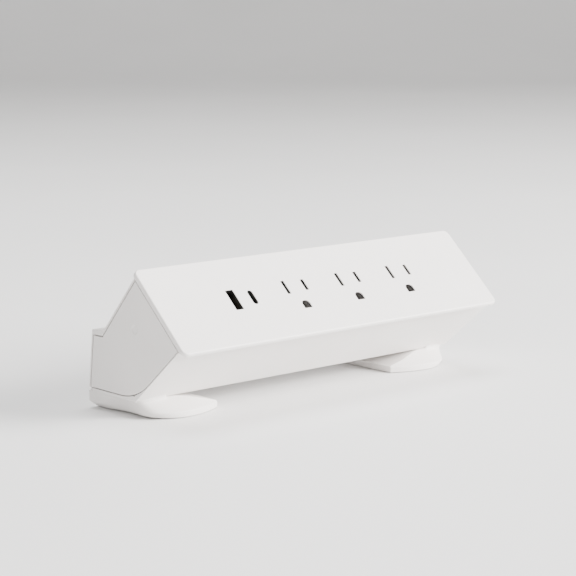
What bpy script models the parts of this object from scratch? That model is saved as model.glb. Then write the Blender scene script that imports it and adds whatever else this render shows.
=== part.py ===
"""Desk power strip: a sloped face plate with three outlets and two USB ports on a two-footed housing."""
import math

import bmesh
import bpy
from mathutils import Matrix, Vector

# Units: every size below is in millimetres; MM turns it into metres.
MM = 0.001
GAP = 0.3                    # clearance between pieces that touch
CUT_PAST = 1.0               # how far a cutter runs past the face it opens

# Face plate
PLATE_LENGTH = 217.6
PLATE_WIDTH = 52.9
PLATE_THICK = 2.5
PLATE_TILT = 42.6            # degrees from the desk
PLATE_CORNER = 3.5
PLATE_EDGE = 0.8
PLATE_HEIGHT = 56.2          # middle of its front face above the desk
PLATE_OVERHANG = 3.4         # past the walls below it, front and rear

# Housing
DEPTH = 76.2                 # overall, front edge of the plate to the rear wall
WALL = 2.4
FLOOR_HEIGHT = 9.5           # underside of the body above the desk
SLOPE_ANGLE = 40.7           # front slope, degrees from the desk
BACK_ANGLE = 48.9            # back slope, degrees from the desk
LEDGE_HEIGHT = 40.5
LEDGE_FILLET = 5.0
REAR_LEAN = 6.5              # rear wall, degrees from upright
END_LIP = 0.5                # housing wall left outside the end cap's groove
END_GROOVE = 0.8             # shadow gap round the end cap
END_REAR_INSET = 1.4
END_LEDGE_INSET = 3.0
END_FLOOR_INSET = 1.5
END_CORNER = 34.0            # radius of the end cap's lower front corner
END_THICK = 2.4
END_RIM_DEPTH = 6.0
END_RIM_WALL = 1.8

# Feet
FOOT_EDGE = 3.7              # height of the upright edge
FOOT_MID = 6.7
FOOT_OUTER = 99.0            # outer edge on the desk, from the middle of the strip
FOOT_OUTER_REAR = 104.5
FOOT_FRONT = -10.8
FOOT_FRONT_X = 84.0
FOOT_INNER = 61.0
FOOT_INNER_FRONT = -4.5
FOOT_CORNER_Y = 2.0          # middle of the round outer corner
FOOT_WAIST = 3.5             # side of the foot in from the end of the strip, at its upright edge
FOOT_NECK = 1.2              # the same, higher up
FOOT_ROOT = 10.0             # round corner where the foot joins the body
FOOT_DRAFT = 0.2
ROOT_INNER = 88.8            # inner edge where the foot joins the body
FOOT_CLEAR = 0.4             # foot above the desk, round its pad
FOOT_BOW_STEPS = 4
PAD_THICK = 1.2
PAD_INSET = 4.0

# Outlets, in the plate's own axes
OUTLET_COUNT = 3
OUTLET_FIRST = -19.52
OUTLET_PITCH = 36.87
BLADE_ROW = 3.63
BLADE_SPACING = 12.7
GROUND_DROP = 11.9
SLOT_WIDTH = 2.0
NEUTRAL_SLOT = 8.6
LIVE_SLOT = 7.0
GROUND_WIDTH = 5.0
GROUND_HEIGHT = 5.0
OUTLET_WIDTH = 34.0
OUTLET_ABOVE = 7.2           # body past the blade row, towards the rear
OUTLET_BELOW = 5.8           # body past the ground hole, towards the front
OUTLET_DEEP = 18.0
CHAMBER_DEEP = 2.8
SHUTTER_TRAVEL = 3.6
SHUTTER_THICK = 1.8
SHUTTER_LENGTH = 21.8
SHUTTER_WIDTH = 10.4
SHUTTER_WINDOW = 3.0
SHUTTER_OFFSET = 0.2         # closed shutter's shift away from its spring
SPRING_WIRE = 0.36
SPRING_COIL = 1.9            # mean diameter
SPRING_TURNS = 4.5
SPRING_LENGTH = 6.4
WELL_WIDTH = 5.8
WELL_LENGTH = 8.8
GROUND_WELL = 6.8

# Busbars and their contacts
BAR_THICK = 0.8
BAR_WIDTH = 3.6
BAR_REACH = 3.0              # past the last outlet body, towards the terminals
NEUTRAL_BAR = 9.0            # place of each bar across the plate
LIVE_BAR = -2.4
GROUND_BAR = -8.8
CLIP_WIDTH = 4.6
CLIP_LENGTH = 6.6
CLIP_DEEP = 13.0
CLIP_SLIT = 1.2
GROUND_CLIP = 5.6
GROUND_SLIT = 4.0
TRAY_WALL = 1.6
TRAY_FLOOR = 2.0
TRAY_MARGIN = 1.9

# USB charger
USB_A_X = -61.43
USB_C_X = -49.60
USB_ROW = 0.57
USB_A_WIDTH = 4.8
USB_A_LENGTH = 12.5
USB_C_WIDTH = 3.1
USB_C_LENGTH = 8.9
USB_A_CORNER = 0.8
SHELL_WALL = 0.4
SHELL_FLOOR = 1.5            # inside floor of a shell above the board
TONGUE_THICK = 1.8
TONGUE_C_THICK = 0.7
TONGUE_BACK = 1.2            # tongue's front edge behind the shell's
BOARD_DEPTH = 15.6           # its upper face below the plate's front face
BOARD_THICK = 1.6
BOARD_LOW_X = -94.0
BOARD_HIGH_X = -43.0
BOARD_HALF = 15.0
BOSS_RADIUS = 3.2
TRANSFORMER = (-77.5, -0.5, 17.0, 17.0, 14.0)      # middle x and y, then its size
INPUT_CAPACITOR = (-61.0, 8.0, 4.0, 15.0)          # middle x and y, radius, length
OUTPUT_CAPACITOR = (-50.5, 7.5, 3.2, 11.0)
CONTROL_CHIP = (-59.0, -4.0, 10.0, 6.0, 1.8)
LINE_FUSE = (-89.5, 0.0, 2.2, 10.0)
BOSS_INSET = 3.6

# Mains entry
GLAND_X = 84.0
GLAND_HEIGHT = 24.0
GLAND_RADIUS = 7.0
GLAND_BORE = 3.9
GLAND_NECK = 5.4
GLAND_FLANGE = 2.4
GLAND_INSIDE = 6.0
TERMINAL_X = 84.0
TERMINAL_Y = 12.0
TERMINAL_SIZE = (24.0, 12.0, 11.0)
CLAMP_CLEAR = 0.55           # clamp bar in front of the gland
CLAMP_POST = (22.0, 7.0)
CLAMP_HIGH = 4.5
SADDLE_RADIUS = 3.3
SADDLE_DROP = 0.4
TERMINAL_WELL = 5.0

# Fasteners
SCREW_RADIUS = 1.4
SCREW_HEAD = 2.7
SCREW_HEAD_HIGH = 1.2
SCREW_SINK = 1.5
COVER_SCREW_X = 42.0
COVER_SCREW_LENGTH = 12.0
COVER_BOSS = 3.8
TRAY_SCREW_LENGTH = 8.0
BOARD_SCREW_LENGTH = 8.0
CLAMP_SCREW_LENGTH = 7.0
LEAD_RADIUS = 1.1
CHARGER_LEAD_RADIUS = 0.77
LEAD_CLEAR = 0.4
LEAD_ENTRY = 4.0             # leads above the floor where they enter the terminals

# Worked out from the sizes above
TILT = math.radians(PLATE_TILT)
HALF = PLATE_LENGTH / 2
PLATE_FRONT_REACH = (PLATE_WIDTH / 2 - PLATE_EDGE) * math.cos(TILT) - PLATE_EDGE * math.sin(TILT) + PLATE_EDGE
PLATE_Y = PLATE_FRONT_REACH - DEPTH / 2
REAR_Y = DEPTH / 2
UNDER = -PLATE_THICK - GAP
OUTLETS = [OUTLET_FIRST + OUTLET_PITCH * step for step in range(OUTLET_COUNT)]
GROUND_ROW = BLADE_ROW - GROUND_DROP
OUTLET_LOW = GROUND_ROW - OUTLET_BELOW
OUTLET_HIGH = BLADE_ROW + OUTLET_ABOVE
OUTLET_BASE = UNDER - OUTLET_DEEP
BAR_TOP = OUTLET_BASE - 2 * GAP
BAR_BASE = BAR_TOP - BAR_THICK
TRAY_TOP = OUTLET_BASE - GAP
TRAY_BASE = BAR_BASE - GAP - TRAY_FLOOR
BAR_START = OUTLETS[0] - OUTLET_WIDTH / 2
BAR_END = OUTLETS[-1] + OUTLET_WIDTH / 2 + BAR_REACH
FLOOR_TOP = FLOOR_HEIGHT + WALL

bpy.ops.object.select_all(action="DESELECT")
for old in list(bpy.data.objects):
    bpy.data.objects.remove(old, do_unlink=True)

parts = bpy.data.collections.new("desk_power_strip")
cutters = bpy.data.collections.new("cutters")
for group in (parts, cutters):
    bpy.context.scene.collection.children.link(group)

plate_frame = bpy.data.objects.new("plate_frame", None)
plate_frame.location = (0, PLATE_Y * MM, PLATE_HEIGHT * MM)
plate_frame.rotation_euler = (TILT, 0, 0)
parts.objects.link(plate_frame)


# ---------------------------------------------------------------- materials
def material(name, colour, roughness, metallic=0.0):
    finish = bpy.data.materials.new(name)
    finish.use_nodes = True
    shader = finish.node_tree.nodes["Principled BSDF"]
    shader.inputs["Base Color"].default_value = (*colour, 1)
    shader.inputs["Roughness"].default_value = roughness
    shader.inputs["Metallic"].default_value = metallic
    return finish


WHITE = material("white_casing", (0.84, 0.81, 0.79), 0.45)
SHADE = material("shaded_casing", (0.78, 0.75, 0.73), 0.5)
RUBBER = material("foot_rubber", (0.05, 0.05, 0.05), 0.9)
CARRIER = material("carrier_plastic", (0.30, 0.29, 0.28), 0.5)
SHUTTER = material("shutter_plastic", (0.36, 0.35, 0.34), 0.4)
STEEL = material("spring_steel", (0.60, 0.60, 0.62), 0.3, 1.0)
BRASS = material("contact_brass", (0.72, 0.53, 0.24), 0.35, 1.0)
BOARD = material("circuit_board", (0.03, 0.20, 0.10), 0.5)
BLACK = material("black_plastic", (0.02, 0.02, 0.02), 0.4)
CAN = material("capacitor_can", (0.30, 0.32, 0.38), 0.35, 0.6)
LIVE_LEAD = material("black_insulation", (0.03, 0.03, 0.03), 0.5)
NEUTRAL_LEAD = material("white_insulation", (0.75, 0.75, 0.73), 0.5)
GROUND_LEAD = material("green_insulation", (0.04, 0.30, 0.09), 0.5)
AMBER = material("fuse_body", (0.40, 0.22, 0.06), 0.5)


# ---------------------------------------------------------------- shape tools
def add_object(name, mesh, finish=None, on_plate=False):
    """Put a mesh in the model, or among the cutters when it has no finish."""
    item = bpy.data.objects.new(name, mesh)
    if finish:
        mesh.materials.append(finish)
        parts.objects.link(item)
    else:
        cutters.objects.link(item)
        item.hide_render = True
        item.display_type = "WIRE"
    if on_plate:
        item.parent = plate_frame
    return item


def box(name, low, high, finish=None, on_plate=False):
    """A block between two corners, its place kept in its mesh so that faces in line stay in line."""
    shape = bmesh.new()
    bmesh.ops.create_cube(shape, size=2)
    for point in shape.verts:
        point.co = [(b if c > 0 else a) * MM for a, b, c in zip(low, high, point.co)]
    mesh = bpy.data.meshes.new(name)
    shape.to_mesh(mesh)
    shape.free()
    return add_object(name, mesh, finish, on_plate)


def rod(name, radius, start, end, finish=None, on_plate=False, segments=24):
    """A round bar from one point to another."""
    start = Vector(start) * MM
    end = Vector(end) * MM
    shape = bmesh.new()
    bmesh.ops.create_cone(shape, cap_ends=True, segments=segments, radius1=radius * MM,
                          radius2=radius * MM, depth=(end - start).length)
    mesh = bpy.data.meshes.new(name)
    shape.to_mesh(mesh)
    shape.free()
    mesh.shade_smooth()
    mesh.set_sharp_from_angle(angle=math.radians(40))
    item = add_object(name, mesh, finish, on_plate)
    item.location = (start + end) / 2
    item.rotation_mode = "QUATERNION"
    item.rotation_quaternion = Vector((0, 0, 1)).rotation_difference(end - start)
    return item


def curve_mesh(name, curve, turn=None):
    """The closed mesh of a curve, with its caps welded."""
    guide = bpy.data.objects.new(name + "_guide", curve)
    parts.objects.link(guide)
    bpy.context.view_layer.update()
    mesh = bpy.data.meshes.new_from_object(guide.evaluated_get(bpy.context.evaluated_depsgraph_get()))
    bpy.data.objects.remove(guide, do_unlink=True)
    shape = bmesh.new()
    shape.from_mesh(mesh)
    bmesh.ops.remove_doubles(shape, verts=shape.verts, dist=0.00001)
    if turn:
        bmesh.ops.dissolve_limit(shape, angle_limit=0.01, verts=shape.verts, edges=shape.edges)
        shape.transform(turn)
    bmesh.ops.recalc_face_normals(shape, faces=shape.faces)
    if shape.calc_volume(signed=True) < 0:
        bmesh.ops.reverse_faces(shape, faces=shape.faces)
    shape.to_mesh(mesh)
    shape.free()
    mesh.name = name
    mesh.materials.clear()
    return mesh


def prism(name, outline, start, end, finish=None, on_plate=False, along="X"):
    """An outline drawn out between two places: a Y-Z outline along X, or an X-Y outline along Z."""
    curve = bpy.data.curves.new(name, "CURVE")
    curve.dimensions = "2D"
    curve.fill_mode = "BOTH"
    curve.extrude = (end - start) / 2 * MM
    spline = curve.splines.new("POLY")
    spline.points.add(len(outline) - 1)
    for point, (a, b) in zip(spline.points, outline):
        point.co = (a * MM, b * MM, 0, 1)
    spline.use_cyclic_u = True
    middle = (start + end) / 2 * MM
    turn = Matrix.Translation((0, 0, middle))
    if along == "X":
        turn = Matrix(((0, 0, 1, middle), (1, 0, 0, 0), (0, 1, 0, 0), (0, 0, 0, 1)))
    return add_object(name, curve_mesh(name, curve, turn), finish, on_plate)


def wire(name, points, radius, finish, on_plate=False):
    """A round lead along a list of points."""
    curve = bpy.data.curves.new(name, "CURVE")
    curve.dimensions = "3D"
    curve.bevel_depth = radius * MM
    curve.bevel_resolution = 2
    curve.use_fill_caps = True
    spline = curve.splines.new("POLY")
    spline.points.add(len(points) - 1)
    for point, place in zip(spline.points, points):
        point.co = (*(Vector(place) * MM), 1)
    mesh = curve_mesh(name, curve)
    mesh.shade_smooth()
    return add_object(name, mesh, finish, on_plate)


def loft(name, sections, finish=None):
    """A closed solid through sections with the same number of points."""
    shape = bmesh.new()
    rings = [[shape.verts.new(Vector(point) * MM) for point in ring] for ring in sections]
    count = len(rings[0])
    for low, high in zip(rings, rings[1:]):
        for i in range(count):
            j = (i + 1) % count
            shape.faces.new((low[i], low[j], high[j], high[i]))
    shape.faces.new(rings[0])
    shape.faces.new(rings[-1])
    bmesh.ops.triangulate(shape, faces=shape.faces)
    bmesh.ops.recalc_face_normals(shape, faces=shape.faces)
    mesh = bpy.data.meshes.new(name)
    shape.to_mesh(mesh)
    shape.free()
    return add_object(name, mesh, finish)


def boolean(item, tool, operation):
    change = item.modifiers.new(tool.name, "BOOLEAN")
    change.operation = operation
    change.object = tool


def cut(item, *tools):
    for tool in tools:
        boolean(item, tool, "DIFFERENCE")


def join(item, *tools):
    for tool in tools:
        boolean(item, tool, "UNION")


# ---------------------------------------------------------------- outlines
def arc(centre, radius, first, last, steps):
    """Points on an arc or ellipse, angles in degrees."""
    rx, ry = radius if isinstance(radius, tuple) else (radius, radius)
    angles = [math.radians(first + (last - first) * i / steps) for i in range(steps + 1)]
    return [(centre[0] + rx * math.cos(a), centre[1] + ry * math.sin(a)) for a in angles]


def rounded_rectangle(middle, width, height, radius, steps=4):
    x, y = width / 2 - radius, height / 2 - radius
    corners = ((x, y, 0), (-x, y, 90), (-x, -y, 180), (x, -y, 270))
    outline = []
    for cx, cy, angle in corners:
        outline += arc((middle[0] + cx, middle[1] + cy), radius, angle, angle + 90, steps)
    return outline


def on_plate_section(across, out):
    """Y and Z of a point given across the plate and out from its front face."""
    return (PLATE_Y + across * math.cos(TILT) - out * math.sin(TILT),
            PLATE_HEIGHT + across * math.sin(TILT) + out * math.cos(TILT))


def meet(p, d, q, e):
    """Where the line through p along d meets the line through q along e."""
    scale = d[0] * e[1] - d[1] * e[0]
    t = ((q[0] - p[0]) * e[1] - (q[1] - p[1]) * e[0]) / scale
    return (p[0] + d[0] * t, p[1] + d[1] * t)


def heading(angle):
    return (math.cos(math.radians(angle)), math.sin(math.radians(angle)))


def inset_path(lines, first, last, distances):
    """Corners of a path of lines, each moved sideways to its left, ended by two more lines."""
    moved = []
    for (point, angle), distance in zip(lines, distances):
        d = heading(angle)
        moved.append(((point[0] - d[1] * distance, point[1] + d[0] * distance), d))
    ends = [(first[0], heading(first[1]))] + moved + [(last[0], heading(last[1]))]
    return [meet(p, d, q, e) for (p, d), (q, e) in zip(ends, ends[1:])]


def fillet(outline, index, radius, steps):
    """The outline with one corner made round."""
    before, corner, after = (Vector(outline[(index + k) % len(outline)]) for k in (-1, 0, 1))
    a = (before - corner).normalized()
    b = (after - corner).normalized()
    half = a.angle(b) / 2
    middle = corner + (a + b).normalized() * radius / math.sin(half)
    start = corner + a * radius / math.tan(half) - middle
    end = corner + b * radius / math.tan(half) - middle
    sweep = start.angle_signed(end)
    curve = []
    for i in range(steps + 1):
        turn = Matrix.Rotation(-sweep * i / steps, 2)
        curve.append(tuple(middle + turn @ start))
    index %= len(outline)
    return outline[:index] + curve + outline[index + 1:]


PLATE_LINE = (on_plate_section(0, UNDER), PLATE_TILT)
SLOPE_TOP = on_plate_section(-PLATE_WIDTH / 2 + PLATE_OVERHANG, -PLATE_THICK)
RIDGE = on_plate_section(PLATE_WIDTH / 2 - PLATE_OVERHANG, -PLATE_THICK)
SLOPE_LINE = (SLOPE_TOP, -SLOPE_ANGLE)
FLOOR_LINE = ((0, FLOOR_HEIGHT), 0)
REAR_LINE = ((REAR_Y, FLOOR_HEIGHT), 90 + REAR_LEAN)
LEDGE_LINE = ((0, LEDGE_HEIGHT), 180)
BACK_LINE = (RIDGE, 180 - BACK_ANGLE)
LIP = meet(SLOPE_TOP, heading(-SLOPE_ANGLE), (0, FLOOR_HEIGHT), heading(0))


def rear_inside(height, clearance=0.0):
    """Y of the rear wall's inner face at a height, less a clearance."""
    lean = math.radians(REAR_LEAN)
    return REAR_Y - (height - FLOOR_HEIGHT) * math.tan(lean) - WALL / math.cos(lean) - clearance


GLAND_BACK = (GLAND_HEIGHT - FLOOR_HEIGHT) * math.tan(math.radians(REAR_LEAN))
GLAND_INNER_Y = REAR_Y - GLAND_BACK - WALL - GLAND_INSIDE
CLAMP_Y = GLAND_INNER_Y - CLAMP_POST[1] / 2 - CLAMP_CLEAR


def end_outline(extra):
    """The end cap's outline, grown by a margin: out to the groove, or in to the rim."""
    insets = (END_LIP + END_GROOVE - extra, END_FLOOR_INSET - extra, END_REAR_INSET - extra,
              END_LEDGE_INSET - extra, END_REAR_INSET - extra)
    lines = (SLOPE_LINE, FLOOR_LINE, REAR_LINE, LEDGE_LINE, BACK_LINE)
    top = (on_plate_section(0, -PLATE_THICK - END_GROOVE + extra), PLATE_TILT)
    outline = inset_path(lines, top, top, insets)
    return fillet(outline, 1, END_CORNER, 8)


# ---------------------------------------------------------------- casing
def slot_outlines(centre):
    """Both blade slots and the ground hole of one outlet."""
    neutral = rounded_rectangle((centre - BLADE_SPACING / 2, BLADE_ROW), SLOT_WIDTH, NEUTRAL_SLOT, 0.3, 2)
    live = rounded_rectangle((centre + BLADE_SPACING / 2, BLADE_ROW), SLOT_WIDTH, LIVE_SLOT, 0.3, 2)
    radius = GROUND_WIDTH / 2
    ground = arc((centre, GROUND_ROW + GROUND_HEIGHT / 2 - radius), radius, 0, 180, 10)
    ground += [(centre - radius, GROUND_ROW - GROUND_HEIGHT / 2),
               (centre + radius, GROUND_ROW - GROUND_HEIGHT / 2)]
    return {"neutral": neutral, "live": live, "ground": ground}


def make_face_plate():
    corners = rounded_rectangle((0, 0), PLATE_LENGTH, PLATE_WIDTH, PLATE_CORNER, 5)
    plate = prism("face_plate", corners, -PLATE_THICK, 0, WHITE, True, "Z")
    edge = plate.modifiers.new("edge", "BEVEL")
    edge.width = PLATE_EDGE * MM
    edge.segments = 2
    edge.limit_method = "ANGLE"
    edge.angle_limit = math.radians(60)
    reach = PLATE_THICK + CUT_PAST
    for number, centre in enumerate(OUTLETS, 1):
        for blade, outline in slot_outlines(centre).items():
            cut(plate, prism(f"{blade}_slot_{number}", outline, -reach, 1, None, True, "Z"))
    usb_a = rounded_rectangle((USB_A_X, USB_ROW), USB_A_WIDTH, USB_A_LENGTH, 0.4, 2)
    usb_c = rounded_rectangle((USB_C_X, USB_ROW), USB_C_WIDTH, USB_C_LENGTH, USB_C_WIDTH / 2 - 0.01, 4)
    cut(plate, prism("usb_a_opening", usb_a, -reach, 1, None, True, "Z"))
    cut(plate, prism("usb_c_opening", usb_c, -reach, 1, None, True, "Z"))
    for number, (x, y) in enumerate(board_fixings(), 1):
        low = (x, y, -BOARD_DEPTH + GAP)
        boss = rod(f"board_boss_{number}", BOSS_RADIUS, low, (x, y, -PLATE_THICK / 2), None, True)
        join(plate, boss)
        pilot_low = (x, y, -BOARD_DEPTH)
        pilot = rod(f"board_pilot_{number}", SCREW_RADIUS + GAP, pilot_low,
                    (x, y, -BOARD_DEPTH + BOARD_SCREW_LENGTH), None, True)
        cut(plate, pilot)
    for number, (x, y) in enumerate(tray_fixings(), 1):
        boss = rod(f"tray_boss_{number}", BOSS_RADIUS, (x, y, TRAY_TOP + GAP),
                   (x, y, -PLATE_THICK / 2), None, True)
        join(plate, boss)
        pilot = rod(f"tray_pilot_{number}", SCREW_RADIUS + GAP, (x, y, TRAY_TOP - CUT_PAST),
                    (x, y, TRAY_TOP + TRAY_SCREW_LENGTH), None, True)
        cut(plate, pilot)


def board_fixings():
    x_low = BOARD_LOW_X + BOSS_INSET
    x_high = BOARD_HIGH_X - BOSS_INSET
    y = BOARD_HALF - BOSS_INSET
    return [(x_low, y), (x_high, -y)]


def tray_fixings():
    """Screw posts in the two gaps beside the outlet bodies."""
    y = OUTLET_HIGH + TRAY_WALL + BOSS_RADIUS + GAP
    return [((OUTLETS[0] + OUTLETS[1]) / 2, y), ((OUTLETS[1] + OUTLETS[2]) / 2, y)]


def foot_section(height, outer_rear, outer, corner_y, front, front_x, inner, inner_front, side):
    """One level of a foot: rear outer corner, outer arc, front edge and inner edge."""
    ring = [(outer_rear, REAR_Y)]
    ring += arc((front_x, corner_y), (outer - front_x, corner_y - front), 0, -90, 6)
    for step in range(1, FOOT_BOW_STEPS + 1):
        share = step / FOOT_BOW_STEPS
        ring.append((front_x + (inner - front_x) * share, front + (inner_front - front) * share ** 2))
    ring.append((inner, REAR_Y))
    return [(side * x, y, height) for x, y in ring]


def foot_sections(side):
    side_x = HALF - FOOT_DRAFT
    base = foot_section(FOOT_CLEAR, FOOT_OUTER_REAR, FOOT_OUTER, FOOT_CORNER_Y, FOOT_FRONT,
                        FOOT_FRONT_X, FOOT_INNER, FOOT_INNER_FRONT, side)
    edge = foot_section(FOOT_EDGE, side_x, HALF - FOOT_WAIST, FOOT_CORNER_Y, FOOT_FRONT + FOOT_DRAFT,
                        FOOT_FRONT_X, FOOT_INNER, FOOT_INNER_FRONT, side)
    share = (FOOT_MID - FOOT_EDGE) / (FLOOR_HEIGHT - FOOT_EDGE)
    middle = foot_section(FOOT_MID, side_x, HALF - FOOT_NECK, FOOT_CORNER_Y,
                          FOOT_FRONT + (LIP[0] - FOOT_FRONT) * share, (FOOT_FRONT_X + ROOT_INNER) / 2,
                          FOOT_INNER + (ROOT_INNER - FOOT_INNER) * share,
                          FOOT_INNER_FRONT + (LIP[0] - FOOT_INNER_FRONT) * share, side)
    top = foot_section(FLOOR_HEIGHT + GAP, side_x, side_x, LIP[0] + 2 * FOOT_DRAFT, LIP[0] + FOOT_DRAFT,
                       HALF - FOOT_ROOT, ROOT_INNER, LIP[0] + FOOT_DRAFT, side)
    return [base, edge, middle, top]


def make_lower_housing():
    lines = (SLOPE_LINE, FLOOR_LINE)
    floor_end = ((rear_inside(FLOOR_HEIGHT, GAP), FLOOR_HEIGHT), 90 + REAR_LEAN)
    outer = inset_path(lines, PLATE_LINE, floor_end, (0, 0))
    inner = inset_path(lines, PLATE_LINE, floor_end, (WALL, WALL))
    housing = prism("lower_housing", outer + inner[::-1], -HALF, HALF, WHITE)
    rear_notch = box("rear_wall_notch",
                     (-HALF - CUT_PAST, rear_inside(FLOOR_TOP, 2 * GAP), FLOOR_HEIGHT - GAP),
                     (HALF + CUT_PAST, REAR_Y + CUT_PAST, LEDGE_HEIGHT))
    for name, side in (("left", -1), ("right", 1)):
        foot = loft(f"{name}_foot_form", foot_sections(side))
        cut(foot, rear_notch)
        join(housing, foot)
        recess = prism(f"{name}_pad_recess", pad_outline(side, PAD_INSET - GAP), -1, PAD_THICK + GAP, None,
                       False, "Z")
        cut(housing, end_pocket(name, side), recess)
    for number, (x, y) in enumerate(cover_fixings(), 1):
        hole = rod(f"cover_screw_hole_{number}", SCREW_RADIUS + GAP, (x, y, 0), (x, y, FLOOR_TOP + CUT_PAST))
        sink = rod(f"cover_screw_sink_{number}", SCREW_HEAD + GAP, (x, y, 0),
                   (x, y, FLOOR_HEIGHT + SCREW_SINK))
        cut(housing, hole, sink)
    half_width = CLAMP_POST[0] / 2
    post_top = GLAND_HEIGHT - GLAND_BORE - GAP
    for name, offset in (("low", -1), ("high", 1)):
        x = GLAND_X + offset * (half_width - BOSS_RADIUS)
        post = rod(f"clamp_post_{name}", BOSS_RADIUS, (x, CLAMP_Y, FLOOR_TOP - CUT_PAST),
                   (x, CLAMP_Y, post_top))
        join(housing, post)
        pilot = rod(f"clamp_pilot_{name}", SCREW_RADIUS + GAP, (x, CLAMP_Y, post_top - CLAMP_SCREW_LENGTH),
                    (x, CLAMP_Y, post_top + CUT_PAST))
        cut(housing, pilot)


def end_pocket(name, side):
    start, end = sorted((side * (HALF + CUT_PAST), side * (HALF - END_THICK - GAP)))
    key = f"{name}_end_pocket"
    return cutters.objects.get(key) or prism(key, end_outline(END_GROOVE), start, end)


def cover_fixings():
    y = rear_inside(FLOOR_TOP) - COVER_BOSS - 1.5
    return [(-COVER_SCREW_X, y), (COVER_SCREW_X, y)]


def make_rear_cover():
    floor_end = ((0, FLOOR_HEIGHT), 0)
    lines = (REAR_LINE, LEDGE_LINE, BACK_LINE)
    outer = fillet(inset_path(lines, floor_end, PLATE_LINE, (0, 0, 0)), 2, LEDGE_FILLET, 5)
    inner = inset_path(lines, floor_end, PLATE_LINE, (WALL, WALL, WALL))
    cover = prism("rear_cover", outer + inner[::-1], -HALF, HALF, SHADE)
    for name, side in (("left", -1), ("right", 1)):
        cut(cover, end_pocket(name, side))
    for number, (x, y) in enumerate(cover_fixings(), 1):
        boss = rod(f"cover_boss_{number}", COVER_BOSS, (x, y, FLOOR_TOP + GAP),
                   (x, y, LEDGE_HEIGHT - WALL / 2))
        join(cover, boss)
        pilot = rod(f"cover_pilot_{number}", SCREW_RADIUS + GAP, (x, y, 0),
                    (x, y, FLOOR_TOP + COVER_SCREW_LENGTH + CUT_PAST))
        cut(cover, pilot)
    inlet = rod("cord_inlet", GLAND_NECK + GAP, (GLAND_X, REAR_Y - 12, GLAND_HEIGHT),
                (GLAND_X, REAR_Y + 5, GLAND_HEIGHT))
    cut(cover, inlet)


def make_end_cap(name, side):
    start, end = sorted((side * HALF, side * (HALF - END_THICK)))
    cap = prism(f"end_cap_{name}", end_outline(0), start, end, SHADE)
    inside = WALL + GAP
    start, end = sorted((side * (HALF - END_THICK / 2), side * (HALF - END_THICK - END_RIM_DEPTH)))
    rim = prism(f"{name}_cap_rim", end_outline(-inside), start, end)
    start, end = sorted((side * (HALF - END_THICK), side * (HALF - END_THICK - END_RIM_DEPTH - CUT_PAST)))
    hollow = prism(f"{name}_cap_hollow", end_outline(-inside - END_RIM_WALL), start, end)
    cut(rim, hollow)
    join(cap, rim)


def pad_outline(side, inset):
    """The foot's outline on the desk, drawn in all round."""
    middle_x = side * (FOOT_OUTER + FOOT_INNER) / 2
    middle_y = (REAR_Y + FOOT_FRONT) / 2
    shrink_x = 1 - inset / ((FOOT_OUTER - FOOT_INNER) / 2)
    shrink_y = 1 - inset / ((REAR_Y - FOOT_FRONT) / 2)
    return [(middle_x + (x - middle_x) * shrink_x, middle_y + (y - middle_y) * shrink_y)
            for x, y, _ in foot_sections(side)[0]]


def make_foot_pad(name, side):
    prism(f"foot_pad_{name}", pad_outline(side, PAD_INSET), 0, PAD_THICK, RUBBER, False, "Z")


# ---------------------------------------------------------------- outlets
def chamber_box(centre):
    """Low and high corners of the shutter's chamber in the outlet body."""
    low_x = centre + shutter_start() - GAP
    high_x = centre + shutter_start() + SHUTTER_LENGTH + SPRING_LENGTH + 2 * GAP
    half = SHUTTER_WIDTH / 2 + GAP
    return ((low_x, BLADE_ROW - half, UNDER - CHAMBER_DEEP), (high_x, BLADE_ROW + half, UNDER + CUT_PAST))


def shutter_start():
    """Left end of the closed shutter, from the outlet's centre."""
    return -SHUTTER_LENGTH / 2 - SHUTTER_TRAVEL / 2 - SHUTTER_OFFSET


def make_outlet_body(number, centre):
    half = OUTLET_WIDTH / 2
    body = box(f"outlet_body_{number}", (centre - half, OUTLET_LOW, OUTLET_BASE),
               (centre + half, OUTLET_HIGH, UNDER), CARRIER, True)
    cut(body, box(f"chamber_{number}", *chamber_box(centre), None, True))
    for blade, place in (("neutral", -1), ("live", 1)):
        x = centre + place * BLADE_SPACING / 2
        low = (x - WELL_WIDTH / 2, BLADE_ROW - WELL_LENGTH / 2, OUTLET_BASE - CUT_PAST)
        high = (x + WELL_WIDTH / 2, BLADE_ROW + WELL_LENGTH / 2, UNDER - CHAMBER_DEEP + 0.5)
        cut(body, box(f"{blade}_well_{number}", low, high, None, True))
    low = (centre - GROUND_WELL / 2, GROUND_ROW - GROUND_WELL / 2, OUTLET_BASE - CUT_PAST)
    high = (centre + GROUND_WELL / 2, GROUND_ROW + GROUND_WELL / 2, UNDER + CUT_PAST)
    cut(body, box(f"ground_well_{number}", low, high, None, True))


def make_shutter(number, centre):
    start = centre + shutter_start()
    top = UNDER - GAP
    shutter = box(f"shutter_{number}", (start, BLADE_ROW - SHUTTER_WIDTH / 2, top - SHUTTER_THICK),
                  (start + SHUTTER_LENGTH, BLADE_ROW + SHUTTER_WIDTH / 2, top), SHUTTER, True)
    for blade, place in (("neutral", -1), ("live", 1)):
        x = centre + place * BLADE_SPACING / 2 - SHUTTER_TRAVEL
        half = NEUTRAL_SLOT / 2 + GAP
        window = box(f"{blade}_window_{number}",
                     (x - SHUTTER_WINDOW / 2, BLADE_ROW - half, top - SHUTTER_THICK - CUT_PAST),
                     (x + SHUTTER_WINDOW / 2, BLADE_ROW + half, top + CUT_PAST), None, True)
        cut(shutter, window)


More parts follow.
